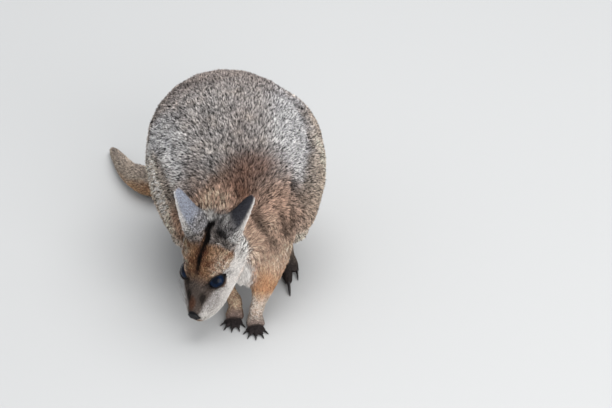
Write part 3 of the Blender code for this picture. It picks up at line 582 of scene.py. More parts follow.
def mark_face(p, hue, lay, on_face, uneven, fine, mottle, head, back, up, aside, grizzle, fleck, **_):
    """Cheeks, lips, lids and nose."""
    # the pale stripe runs from the lip under the eye to the root of the ear
    edge = np.interp(back, *PALE_EDGE)
    brink = np.interp(back, *PALE_BRINK)
    beyond = np.minimum(up - edge, brink - aside) + 0.08 * fine
    soft = np.interp(back, (1.0, 2.5, 4.2, 5.2), (0.24, 0.42, 0.30, 0.18))
    pale = (1 - ramp(-soft, soft, beyond)) * ramp(0.25, 0.6, aside + (1.2 - up) * 0.35)
    lay(hue.white, 0.97 * head * pale * ramp(-0.1, 0.25, back))
    between = pale * ramp(-0.95, -0.35, beyond) * ramp(0.9, 1.5, back) * (1 - ramp(4.2, 4.8, back))
    lay(hue.cheek, 0.7 * head * between)
    lips = bump(up, np.interp(back, *MOUTH), 0.10) * ramp(0.2, 0.5, back) * (1 - ramp(3.4, 4.4, back))
    lay(hue.muzzle, 0.8 * head * lips)
    jowl = head * ramp(4.4, 6.4, back) * (1 - ramp(-1.9, -0.9, up + 0.4 * uneven + 0.2 * fine))
    lay(hue.shoulder, 0.6 * jowl)
    lay(hue.grey, 0.4 * head * pale * ramp(5.0, 6.5, back) * ramp(0.15, 0.5, mottle))
    lay(hue.muzzle, 0.7 * head * on_face((8.3, 3.4, 0.3), (0.5, 0.6, 0.2), 0.5))
    lay(hue.muzzle, 0.5 * head * on_face((7.6, 3.5, -0.6), (0.4, 0.6, 0.2), 0.5))
    lay(hue.stripe, 0.9 * head * on_face((3.75, 1.45, 1.3), (0.5, 0.4, 0.5), 0.5))
    strength = 0.25 + 0.40 * ramp(2.0, 6.0, back) + 0.35 * grizzle
    strength = strength * (1 - 0.8 * pale * (1 - ramp(6.5, 10.0, back))) + 0.15 + 0.5 * between
    fleck[:] = fleck * (1 - head) + head * strength
    lay(hue.stripe, 0.95 * head * on_face((3.8, 1.25, 1.5), (0.32, 0.26, 0.4), 0.4))
    for way in SIDES:
        margin, reach, _ = lid_margin(p, way)
        close = (reach < EYE_RADIUS + 0.5) * head
        lay(hue.lid, close * (1 - ramp(6, 13, margin)))
    lay(hue.nose, head * nose_pad(back, aside, up))


def mark_ears(p, normal, part, hue, lay, on_crown, fine, mottle, neck, head, back, upper, line, fleck, **_):
    """Ears, and the pale and dark tufts at their roots, with painted shade and sheen on the ears' backs and painted
    shade in the folds.
    """
    for way, label in SIDES.items():
        root, axis, opens, cross = ear_frame(way)
        ear = part.of("ear_" + label)
        away = p - root
        rise = away @ axis / EAR_LENGTH
        inside = ramp(-0.1, 0.35, normal @ opens) * ear
        # Painted shade on the left ear's back and painted sheen on the right ear's.
        lay(hue.ear_back if way == 1 else hue.ear_sheen, ear)
        outer = (away @ cross) * np.sign(cross @ (HEAD_AXES[2] - HEAD_AXES[0]))
        base = ear * (1 - ramp(0.34, 0.62, rise + 0.08 * fine + 0.05 * outer))
        lay(hue.grey, 0.8 * base)
        lay(hue.stripe, 0.7 * base * ramp(0.1, 0.45, mottle))
        fleck[:] = fleck * (1 - ear) + ear * (0.15 + 1.0 * (1 - ramp(0.34, 0.58, rise)))
        lay(hue.ear_inside, 0.9 * inside)
        half = np.interp(rise, *EAR_HALF)
        rim = ramp(half - 0.24, half - 0.10, outer) * ear * ramp(0.05, 0.2, rise)
        lay(hue.white, 0.95 * rim * ramp(-0.8, -0.3, normal @ opens))
        inner = half * np.interp(rise, *EAR_INNER)
        lay(hue.brow, 0.5 * ear * (1 - ramp(0.1 - inner, 0.4 - inner, outer)) * bump(rise, 0.7, 0.3))
    ruff = part.of("ear") + neck + head
    lay(hue.grey, 0.85 * neck * on_crown((10.9, 0.6, 1.9), (1.0, 2.6, 1.6), 0.4))
    lay(hue.stripe, 0.9 * upper * line * ramp(8.0, 9.0, back))
    for place in ((11.5, -1.1, 2.2), (11.0, -0.6, 2.0), (11.0, 0.7, 1.9), (11.6, 2.2, 3.7)):
        lay(hue.white, 0.85 * ruff * on_crown(place, (0.6, 0.5, 0.5), 0.6))
    lay(hue.stripe, 0.85 * ruff * on_crown((9.7, 2.1, 3.5), (0.55, 0.7, 0.9), 0.6))
    # Painted shade in the folds' creases, in the near-black of the head's dark line.
    lay(hue.stripe, folds(p)[1] * (1 - head))


def markings(p, normal, part, hue):
    """The coat's colour at each place, and how strongly it is flecked dark and pale there."""
    colour, fleck = np.tile(np.array(hue.grey), (len(p), 1)), np.ones(len(p))
    back, left, up = in_head(p).T
    aside = np.abs(left)

    def lay(new, mask):
        """New colour over the old by its mask."""
        colour[:] += (np.array(new) - colour) * np.clip(mask, 0, 1)[:, None]

    given = dict(zip("xyz", p.T)) | {
        stem: part.of(stem) for stem in ("trunk", "thigh", "neck", "breast", "arm", "hand", "shank", "foot")
    }
    given |= {
        "p": p, "normal": normal, "part": part, "hue": hue, "colour": colour, "fleck": fleck, "lay": lay,
        "back": back, "left": left, "up": up, "aside": aside, "head": ramp(0.3, 0.7, part.of("head")),
        "side": np.abs(p[:, 0] - MIDDLE), "under": np.clip(-normal[:, 2], 0, 1),
        "body": given["trunk"] + given["thigh"] + given["neck"] + part.of("tail"),
        "uneven": wobble(p, 5.0, 3), "fine": wobble(p, 2.2, 5), "mottle": wobble(p, 0.55, 21),
        "oval": partial(blotch, p), "on_face": partial(blotch, np.stack((back, aside, up), 1)),
        "on_crown": partial(blotch, np.stack((back, left, up), 1)),
    }
    for mark in (mark_back, mark_shoulders, mark_tail, mark_limbs, mark_crown, mark_face, mark_ears):
        given |= mark(**given) or {}
    return np.clip(colour, 0, 1), np.clip(fleck, 0, 1)


# ---------------------------------------------------------------- coat measures


def coat_measures(p, normal, part, lengths):
    """Length of hair in centimetres, and the way it lies, at each place."""
    x, y, z = p.T
    back, _, up = in_head(p).T
    hair = np.zeros(len(p))
    way = np.zeros((len(p), 3))
    side = x - MIDDLE
    none, one = np.zeros(len(p)), np.ones(len(p))
    for name, share in part.share.items():
        stem = name.split("_")[0]
        along = part.way[name]
        length = lengths[stem]
        if stem == "trunk":
            outward = 0.10 * np.sign(side) * ramp(2, 6, np.abs(side))
            along = np.stack((outward, one, -0.10 - 0.75 * ramp(3, 8.5, np.abs(side))), 1)
            length = length * (1.3 - 0.3 * ramp(6.0, 10.0, y))
        elif stem == "thigh":
            along = np.stack((none, 0.75 * one, -0.75 * one), 1)
        elif stem == "neck":
            along = along + np.stack((none, none, -0.35 * ramp(2, 5, np.abs(x + 1.3))), 1)
        elif stem == "breast":
            along = np.stack((none, 0.35 * one, -one), 1)
        elif stem == "head":
            along = HEAD_AXES[0] - 0.3 * ramp(0.5, 2.5, -up)[:, None] * HEAD_AXES[2]
            length = length * (0.40 + 0.60 * ramp(2.0, 8.0, back))
            length = length * (1 + 0.6 * ramp(0.6, 2.2, -up) * ramp(4, 8, back) + 0.7 * ramp(8.4, 9.6, back))
        elif stem == "arm":
            length = length * (0.45 + 0.55 * ramp(2.5, 8.5, z))
        elif stem == "ear":
            side_of = 1 if name.endswith("left") else -1
            root, axis, _, _ = ear_frame(side_of)
            length = length * (1 + 1.0 * (1 - ramp(0.30, 0.55, (p - root) @ axis / EAR_LENGTH)))
        hair += share * length
        way += share[:, None] * unit(along)
    near_floor = ramp(0.3, 2.0, z)
    crease = np.maximum(folds(p)[1], folds(p + 0.5 * unit(way))[1])
    hair *= (0.35 + 0.65 * near_floor) * (1 - 0.65 * crease)
    way[:, 2] *= 0.15 + 0.85 * near_floor
    way -= normal * (way * normal).sum(1)[:, None]
    return hair, unit(way)


# ---------------------------------------------------------------- building helpers


def new_piece(name, mesh, material=None):
    obj = bpy.data.objects.new(name, mesh)
    bpy.context.scene.collection.objects.link(obj)
    if material:
        mesh.materials.clear()
        mesh.materials.append(material)
    return obj


def smooth_shaded(mesh):
    mesh.polygons.foreach_set("use_smooth", np.ones(len(mesh.polygons), bool))
    mesh.update()


def applied(obj):
    """The object's mesh with its modifiers worked in."""
    graph = bpy.context.evaluated_depsgraph_get()
    mesh = bpy.data.meshes.new_from_object(obj.evaluated_get(graph))
    obj.modifiers.clear()
    obj.data = mesh
    return mesh


def settle(made, mesh):
    """Writes a bmesh into a mesh and lets it go."""
    made.to_mesh(mesh)
    made.free()
    return mesh


def voxelled(obj, size):
    """The object's mesh made one closed skin of cells of this size."""
    cells = obj.modifiers.new("cells", "REMESH")
    cells.mode = "VOXEL"
    cells.voxel_size = size
    return applied(obj)


def read_corners(mesh):
    """The three corners of every triangle."""
    corners = np.empty(len(mesh.polygons) * 3, np.int32)
    mesh.polygons.foreach_get("vertices", corners)
    return corners.reshape(-1, 3)


def read_attribute(mesh, name, field="value", width=1):
    values = np.empty(len(mesh.vertices) * width, np.float32)
    mesh.attributes[name].data.foreach_get(field, values)
    return values.reshape(-1, width) if width > 1 else values


def put_attribute(mesh, name, kind, values, field):
    layer = mesh.attributes.new(name, kind, "POINT")
    layer.data.foreach_set(field, np.ascontiguousarray(values, dtype=np.float32).ravel())


def solid_copy(names, grow=0.0):
    """The named solids as one bmesh, their doubles merged, each grown a little so that neighbours meet."""
    made = bmesh.new()
    for name in names:
        made.from_mesh(frame["nodes"][name].data)
    bmesh.ops.remove_doubles(made, verts=made.verts, dist=1e-6)
    made.normal_update()
    if grow:
        moves = [v.normal * grow for v in made.verts]
        for v, move in zip(made.verts, moves):
            v.co += move
    return made


def add_claw_beds(made):
    """Rounds off the toe round the root of every claw."""
    for name in sorted(frame["nodes"]):
        if not name.startswith("claw"):
            continue
        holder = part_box(("forepaw_" if "fore" in name else "foot_") + ("left" if "left" in name else "right"))
        middle = np.array(holder[0] + holder[1]) / 2
        places = np.array([v.co for v in frame["nodes"][name].data.vertices])
        gap = np.linalg.norm((places - middle)[:, :2], axis=1)
        root = places[gap < gap.min() + 0.2 * (gap.max() - gap.min())]
        centre = root.mean(0)
        half = np.linalg.norm(root - centre, axis=1).max()
        centre = centre + (places[gap.argmax()] - centre) * 0.06
        turn = Matrix.Translation(Vector(centre.tolist()))
        bmesh.ops.create_icosphere(made, subdivisions=3, radius=half * 1.3, matrix=turn)


def add_ear_roots(made):
    """Closes the hollow of each ear at its root."""
    for side in SIDES:
        root, axis, _, _ = ear_frame(side)
        place = Matrix.Translation(Vector(((root + axis * 0.45 + SHIFT) * CM).tolist()))
        bmesh.ops.create_icosphere(made, subdivisions=4, radius=1.25 * CM, matrix=place)


def keep_largest(made):
    """Leaves only the largest joined part of a bmesh."""
    made.verts.index_update()
    left = set(made.verts)
    best = []
    while left:
        seed = left.pop()
        group, edge = [seed], [seed]
        while edge:
            v = edge.pop()
            for e in v.link_edges:
                other = e.other_vert(v)
                if other in left:
                    left.remove(other)
                    group.append(other)
                    edge.append(other)
        if len(group) > len(best):
            best = group
    keep = set(best)
    bmesh.ops.delete(made, geom=[v for v in made.verts if v not in keep], context="VERTS")


# ---------------------------------------------------------------- shader groups


class Nodes:
    """Adds nodes to a tree, linked or set in one call."""

    def __init__(self, tree, shader=None):
        self.tree = tree
        self.shader = shader

    def add(self, kind, *inputs, **settings):
        node = self.tree.nodes.new(kind)
        for key, value in settings.items():
            setattr(node, key, value)
        for key, value in inputs:
            socket = node.inputs[key]
            if isinstance(value, bpy.types.NodeSocket):
                self.tree.links.new(value, socket)
            else:
                socket.default_value = value
        return node

    def sum(self, operation, *values):
        return self.add("ShaderNodeMath", *enumerate(values), operation=operation).outputs[0]

    def mix(self, factor, a, b, blend="MIX"):
        return self.add("ShaderNodeMix", (0, factor), (6, a), (7, b), data_type="RGBA", blend_type=blend).outputs[2]

    def remap(self, value, low, high, start=0.0, end=1.0):
        return self.add(
            "ShaderNodeMapRange", (0, value), (1, low), (2, high), (3, start), (4, end), clamp=True
        ).outputs[0]

    def vector(self, operation, value, other):
        """One step of vector sums. A scale takes a number, any other operation a second vector."""
        key = "Scale" if operation == "SCALE" else 1
        return self.add("ShaderNodeVectorMath", (0, value), (key, other), operation=operation).outputs[0]

    def attribute(self, name, output="Fac"):
        return self.add("ShaderNodeAttribute", attribute_name=name).outputs[output]

    def texture(self, kind, output, scale, **more):
        """A texture fixed to the object."""
        place = self.add("ShaderNodeTexCoord").outputs["Object"]
        return self.add("ShaderNodeTex" + kind, ("Vector", place), ("Scale", scale), *more.items()).outputs[output]

    def shades(self, share, colour, low, high):
        """Between a darker or paler and another shade of one colour."""
        return self.mix(share, *((*(k * c for c in colour), 1) for k in (low, high)))

    def fur(self, **inputs):
        group = self.add("ShaderNodeGroup", node_tree=fur_group())
        for key, value in inputs.items():
            self.tree.links.new(value, group.inputs[key])
        return group.outputs[0]

    def paint(self, colour):
        self.tree.links.new(colour, self.shader.inputs["Base Color"])

    def emboss(self, height, strength, distance):
        rise = self.add("ShaderNodeBump", ("Strength", strength), ("Distance", distance), ("Height", height))
        self.tree.links.new(rise.outputs[0], self.shader.inputs["Normal"])


def fur_group():
    """Colour of a hair from its marking: dark root, pale band, dark tip, and whole hairs darker or paler."""
    tree = bpy.data.node_groups.get("Grizzled Hair")
    if tree:
        return tree
    tree = bpy.data.node_groups.new("Grizzled Hair", "ShaderNodeTree")
    for name, kind in (
        ("Marking", "NodeSocketColor"), ("Chance", "NodeSocketFloat"), ("Along", "NodeSocketFloat"),
        ("Flecking", "NodeSocketFloat"),
    ):
        tree.interface.new_socket(name, in_out="INPUT", socket_type=kind)
    tree.interface.new_socket("Colour", in_out="OUTPUT", socket_type="NodeSocketColor")
    n = Nodes(tree)
    marking, chance, along, flecking = list(n.add("NodeGroupInput").outputs)[:4]
    dark = n.remap(chance, 0.28, 0.36, 1.0, 0.0)
    pale = n.remap(chance, 0.68, 0.76, 0.0, 1.0)
    inky = n.mix(n.sum("MULTIPLY", dark, flecking), marking, (0.010, 0.009, 0.010, 1))
    lit = n.vector("MINIMUM", n.vector("SCALE", marking, 2.3), (0.93, 0.91, 0.88))
    bright = n.mix(n.sum("MULTIPLY", n.sum("MULTIPLY", pale, flecking), 0.9), inky, lit)
    depth = n.sum("SUBTRACT", 0.58, n.sum("MULTIPLY", flecking, 0.32))
    root = n.remap(along, 0.05, 0.6, depth)
    tip = n.sum("MULTIPLY", n.remap(along, 0.80, 1.0, 0.0, 0.75), flecking)
    shade = n.sum("MULTIPLY", root, n.sum("SUBTRACT", 1.0, tip))
    lift = n.sum("ADD", 0.82, n.sum("MULTIPLY", n.sum("FRACT", n.sum("MULTIPLY", chance, 7.31)), 0.36))
    n.add("NodeGroupOutput", (0, n.vector("SCALE", bright, n.sum("MULTIPLY", shade, lift))))
    return tree


def material(name, roughness, specular):
    """A new material, and the adder of nodes to it."""
    made = bpy.data.materials.new(name)
    made.use_nodes = True
    shader = made.node_tree.nodes["Principled BSDF"]
    shader.inputs["Roughness"].default_value = roughness
    shader.inputs["Specular IOR Level"].default_value = specular
    return made, Nodes(made.node_tree, shader)


def hair_material():
    made, n = material("Wallaby Fur", 0.75, 0.06)
    chance = n.sum("FRACT", n.sum("ADD", n.attribute("chance"), n.sum("MULTIPLY", n.attribute("strand"), 0.32)))
    n.paint(n.fur(
        Marking=n.attribute("marking", "Color"), Chance=chance, Along=n.attribute("along"),
        Flecking=n.attribute("flecking"),
    ))
    return made


def skin_material(coat_shade):
    """The same markings as the coat, painted darker where locks cover it as shade under the coat, with the grain of
    short hair as bump.
    """
    made, n = material("Wallaby Skin", 0.75, 0.08)
    grain = n.texture("Noise", "Fac", 900.0, Detail=3.0, Roughness=0.65)
    bare = n.attribute("bare")
    fur = n.fur(
        Marking=n.attribute("marking", "Color"), Chance=n.remap(grain, 0.25, 0.75),
        Along=n.sum("ADD", 0.30, n.sum("MULTIPLY", bare, 0.35)),
        Flecking=n.sum("MULTIPLY", n.attribute("flecking"), 0.8),
    )
    # Painted shade: where locks cover the skin, its colour is multiplied half way towards the dark shade colour.
    under = n.mix(bare, (*coat_shade, 1), (1, 1, 1, 1))
    n.paint(n.mix(n.sum("SUBTRACT", 0.5, n.sum("MULTIPLY", bare, 0.5)), fur, under, "MULTIPLY"))
    n.emboss(grain, 0.5, 0.0006)
    return made


# ---------------------------------------------------------------- skin

FLESH = tuple(n for n in frame["nodes"] if not n.startswith(("claw", "eye", "nose")))
FILLERS = ("eye_left", "eye_right", "nose")
JOIN_GROW = 0.0002  # metres by which neighbouring solids are grown so that they meet
HEAD_REACH = 4  # centimetres from the head's long axis to past its widest place
JOIN_ROUNDS, DEPTH_ROUNDS, SETTLE_ROUNDS = 22, 8, 4  # rounds of evening


def smoothing_share(part):
    """How far each place may be evened: least where the flesh is thin."""
    thin = 0.88 * part.of("ear") + part.of("hand") + 0.6 * part.of("foot")
    return 0.5 * (1 - 0.96 * np.clip(thin, 0, 1))


def skin_depth(p, part, depth):
    """How far the skin lies under the solids, in centimetres."""
    back = in_head(p)[:, 0]
    z = p[:, 2]
    deep = depth / CM
    total = (
        deep * (part.of("trunk") + part.of("breast")) + 0.85 * deep * part.of("neck") + 0.9 * deep * part.of("thigh")
        + 0.18 * part.of("shank") + 0.05 * part.of("foot") + 0.01 * part.of("hand") + 0.08 * part.of("ear")
        + 0.18 * part.of("tail") + part.of("arm") * (0.08 + 0.18 * ramp(2.5, 9, z))
        + part.of("head") * (0.04 + 0.05 * ramp(2, 6, back) + 0.08 * ramp(6.5, 10, back))
    )
    return total * (0.35 + 0.65 * ramp(0.0, 1.2, z))


def refine(mesh, chosen):
    """Quarters every face whose corners are all chosen, and those along the edge of the choice fit them."""
    made = bmesh.new()
    made.from_mesh(mesh)
    made.verts.ensure_lookup_table()
    inside = set(np.flatnonzero(chosen).tolist())
    edges = [e for e in made.edges if e.verts[0].index in inside and e.verts[1].index in inside]
    bmesh.ops.subdivide_edges(made, edges=edges, cuts=1, use_grid_fill=True)
    bmesh.ops.triangulate(made, faces=[f for f in made.faces if len(f.verts) > 3])
    settle(made, mesh)


def refine_face(mesh):
    """Finer triangles over the face and finer still round the eyes, with the steps between them evened."""
    head = in_head(read_places(mesh))
    refine(mesh, (head[:, 0] < 7.2) & (np.abs(head[:, 1:]) < HEAD_REACH).all(1))
    places = read_places(mesh)
    close = np.zeros(len(places), bool)
    for side in SIDES:
        close |= np.linalg.norm(places - eye_frame(side)[0], axis=1) < EYE_RADIUS + 0.65
    refine(mesh, close)
    places = read_places(mesh)
    head = in_head(places)
    front = (1 - ramp(7.0, 8.5, head[:, 0])) * (np.abs(head[:, 1:]) < HEAD_REACH).all(1)
    write_places(mesh, evened(places, read_edges(mesh), 3, 0.5 * front))


def sculpt_face(mesh):
    """Lids round the eyes, brows, the mouth's line and a groove under the nose."""
    p = read_places(mesh)
    normal = read_normals(mesh)
    back, left, up = in_head(p).T
    aside = np.abs(left)
    head = (back < 12) & (aside < 4.5) & (np.abs(up) < 4.5)
    move = np.zeros(len(p))
    mouth = np.interp(back, *MOUTH)
    groove = bump(up, mouth, 0.075) * ramp(-0.3, 0.1, back) * (1 - ramp(3.6, 4.4, back))
    move -= 0.10 * groove
    move += 0.05 * bump(up, mouth + 0.28, 0.2) * ramp(0.3, 1.0, back) * (1 - ramp(3.0, 4.2, back))
    cleft = bump(left, 0, 0.05) * bump(up, -0.45, 0.22) * (1 - ramp(0.2, 0.7, back))
    move -= 0.07 * cleft
    pad = np.exp(-((back - 1.4) / 0.8) ** 2 - ((up + 0.6) / 0.5) ** 2) * ramp(0.3, 0.9, aside)
    move += 0.06 * pad
    brow = np.exp(-((back - 5.0) / 1.0) ** 2 - ((aside - 1.55) / 0.35) ** 2) * ramp(0.8, 1.5, up)
    move += 0.08 * brow
    move = move * head - folds(p)[0]
    p = p + normal * move[:, None]
    for side in SIDES:
        middle = eye_frame(side)[0]
        margin, reach, across = lid_margin(p, side)
        near = reach < EYE_RADIUS + 0.9
        lid_reach = EYE_RADIUS + np.interp(margin, (-5.0, 0.0, 4.0, 12.0, 20.0), (-0.16, 0.02, 0.085, 0.10, 0.08))
        fold = 0.03 * bump(margin, 17, 3.0) * (across > 0)
        weight = (1 - ramp(14, 42, margin)) * near * (across > -120) * (across < 120)
        target = np.where(margin < 6, lid_reach, lid_reach - fold)
        new = reach + (target - reach) * weight
        new = np.where(near & (margin > 4), np.maximum(new, EYE_RADIUS + 0.06), new)
        p = middle + (p - middle) * (new / np.maximum(reach, 1e-6))[:, None]
    write_places(mesh, p)


class WALLABY_OT_skin(bpy.types.Operator):
    """Makes the one skin that stands for every solid of flesh"""

    bl_idname = "wallaby.make_skin"
    bl_label = "Make Skin"

    def execute(self, context):
        sizes, coat, hue = context.scene.wallaby_skin, context.scene.wallaby_coat, context.scene.wallaby_colours
        made = solid_copy(FLESH + FILLERS, JOIN_GROW)
        add_claw_beds(made)
        add_ear_roots(made)
        skin = new_piece("wallaby_skin", settle(made, bpy.data.meshes.new("wallaby_skin")))
        mesh = voxelled(skin, sizes.grain)
        made = bmesh.new()
        made.from_mesh(mesh)
        keep_largest(made)
        settle(made, mesh)
        places = read_places(mesh)
        edges = read_edges(mesh)
        part = Regions(places)
        places = evened(places, edges, JOIN_ROUNDS, smoothing_share(part))
        write_places(mesh, places)
        part = Regions(places)
        inward = evened(skin_depth(places, part, coat.depth)[:, None], edges, DEPTH_ROUNDS, 0.5)
        places = places - read_normals(mesh) * inward
        places = evened(places, edges, SETTLE_ROUNDS, smoothing_share(part))
        write_places(mesh, places)
        fewer = skin.modifiers.new("fewer", "DECIMATE")
        fewer.ratio = min(1.0, sizes.faces / (2 * len(mesh.polygons)))
        mesh = applied(skin)
        refine_face(mesh)
        sculpt_face(mesh)
        places, normal = read_places(mesh), read_normals(mesh)
        part = Regions(places)
        marking, flecking = markings(places, normal, part, hue)
        put_attribute(mesh, "marking", "FLOAT_COLOR", np.column_stack((marking, np.ones(len(places)))), "color")
        put_attribute(mesh, "flecking", "FLOAT", flecking, "value")
        put_attribute(mesh, "bare", "FLOAT", bareness(places, normal, part), "value")
        smooth_shaded(mesh)
        mesh.materials.append(skin_material(hue.coat_shade_skin))
        print("skin triangles", len(mesh.polygons))
        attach(skin, "root")
        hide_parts(*FLESH)
        return {"FINISHED"}


def bareness(p, normal, part):
    """1 where the skin itself shows: lids, the insides of the ears, the nose pad, pads of the paws."""
    back, left, up = in_head(p).T
    bare = np.zeros(len(p))
    for side, label in SIDES.items():
        margin, reach, _ = lid_margin(p, side)
        bare = np.maximum(bare, (reach < EYE_RADIUS + 0.4) * (1 - ramp(6, 12, margin)))
        inside = ramp(0.0, 0.4, normal @ ear_frame(side)[2])
        bare = np.maximum(bare, part.of("ear_" + label) * inside)
    bare = np.maximum(bare, (part.of("hand") + part.of("foot")) * ramp(0.5, 0.9, -normal[:, 2]))
    nose = part.of("head") * nose_pad(back, np.abs(left), up)
    return np.clip(np.maximum(bare, nose), 0, 1)


# ---------------------------------------------------------------- coat

# Length of hair in centimetres on each part, as a share of the length on the back.
HAIR_SHARE = {
    "trunk": 1.0, "neck": 1.3, "breast": 1.5, "thigh": 1.0, "shank": 0.75, "foot": 0.45, "hand": 0.34, "arm": 1.15,
    "tail": 0.75, "head": 0.68, "ear": 0.3,
}
# piece: (locks to the square centimetre, strands in a lock, width of a strand in millimetres, slot)
COAT_PIECES = {
    "coat_back_left": (112, 4, 0.35, "coat_grey"),
    "coat_back_right": (112, 4, 0.35, "coat_grey"),
    "coat_rump_left": (88, 4, 0.37, "coat_grey"),
    "coat_rump_right": (88, 4, 0.37, "coat_grey"),
    "coat_thigh_left": (92, 4, 0.37, "coat_grey"),
    "coat_thigh_right": (92, 4, 0.37, "coat_grey"),
    "coat_belly": (40, 4, 0.62, "coat_grey"),
    "coat_shoulders": (94, 4, 0.40, "coat_rufous"),
    "coat_arms": (100, 4, 0.36, "coat_rufous"),
    "coat_legs": (60, 3, 0.45, "coat_rufous"),
    "coat_tail": (80, 3, 0.42, "coat_grey"),
    "coat_head": (170, 3, 0.30, "coat_face"),
    "coat_ears": (130, 3, 0.3, "ear"),
    "coat_paws": (90, 3, 0.3, "paw"),
}
PATCH = 0.003  # size of a lock's patch of the bake map
LOCK_KINDS = 6
SPENT_LAYERS = ("lie", "hair", "growth", "root_place", "patch")  # only needed while the locks are set
MOST_TRIANGLES = 200000  # a piece of the coat stays under this


def piece_of(p, part):
    """The name of the coat piece that each place belongs to."""
    names = list(COAT_PIECES)
    stems = np.array([name.split("_")[0] for name in part.share], dtype=object)
    most = stems[np.array(list(part.share.values())).argmax(0)]
    x, y, z = p.T
    left = x > MIDDLE
    trunk, thigh, foot = most == "trunk", most == "thigh", most == "foot"
    chosen = np.full(len(p), names.index("coat_belly"))
    for name, mask in (
        ("back_left", trunk & (y < 15.5) & left), ("back_right", trunk & (y < 15.5) & ~left),
        ("rump_left", trunk & (y >= 15.5) & left), ("rump_right", trunk & (y >= 15.5) & ~left),
        ("belly", trunk & (z < 7.5)), ("thigh_left", thigh & left), ("thigh_right", thigh & ~left),
        ("shoulders", (most == "neck") | (trunk & (y < 8.6) & (z >= 7.5))), ("belly", most == "breast"),
        ("arms", most == "arm"), ("legs", (most == "shank") | (foot & (y > 15))),
        ("paws", (most == "hand") | (foot & (y <= 15))), ("tail", most == "tail"), ("head", most == "head"),
        ("ears", most == "ear"),
    ):
        chosen[mask] = names.index("coat_" + name)
    return names, chosen


def lock_shapes(strands, seed):
    """A collection of locks. Each is a few thin tapered hairs, one unit long, rising from the skin and lying over."""
    made = bpy.data.collections.new(f"locks of {strands}")
    draw = np.random.default_rng(seed)
    for _ in range(LOCK_KINDS):
        corners, faces, along, strand, patch = [], [], [], [], []
        for k in range(strands):
            start = len(corners)
            aside = (k - (strands - 1) / 2) * 1.1 + draw.uniform(-0.3, 0.3)
            begin = draw.uniform(-0.16, 0.12)
            reach = draw.uniform(0.74, 1.0)
            rise = draw.uniform(0.20, 0.32)
            droop = rise * draw.uniform(0.95, 1.35)
            sway = aside * draw.uniform(-0.5, 0.05) + draw.uniform(-0.5, 0.5)
            tilt = draw.uniform(-0.03, 0.03)
            bend = aside + 0.35 * sway
            corners += [
                (begin, aside, -0.05), (begin + 0.42 * reach, bend - 0.5, 0.7 * rise - tilt),
                (begin + 0.46 * reach, bend + 0.5, 0.7 * rise + tilt), (begin + reach, aside + sway, droop),
            ]
            along += [0.0, 0.45, 0.45, 1.0]
            strand += [draw.uniform()] * 4
            patch += [((x - 0.5), y / (strands * 1.6), 0) for x, y, _ in corners[start:]]
            faces += [(start, start + 1, start + 2), (start + 1, start + 3, start + 2)]
        mesh = bpy.data.meshes.new("lock")
        mesh.from_pydata(corners, [], faces)
        smooth_shaded(mesh)
        put_attribute(mesh, "along", "FLOAT", along, "value")
        put_attribute(mesh, "strand", "FLOAT", strand, "value")
        put_attribute(mesh, "patch", "FLOAT_VECTOR", patch, "vector")
        made.objects.link(bpy.data.objects.new("lock", mesh))
    return made


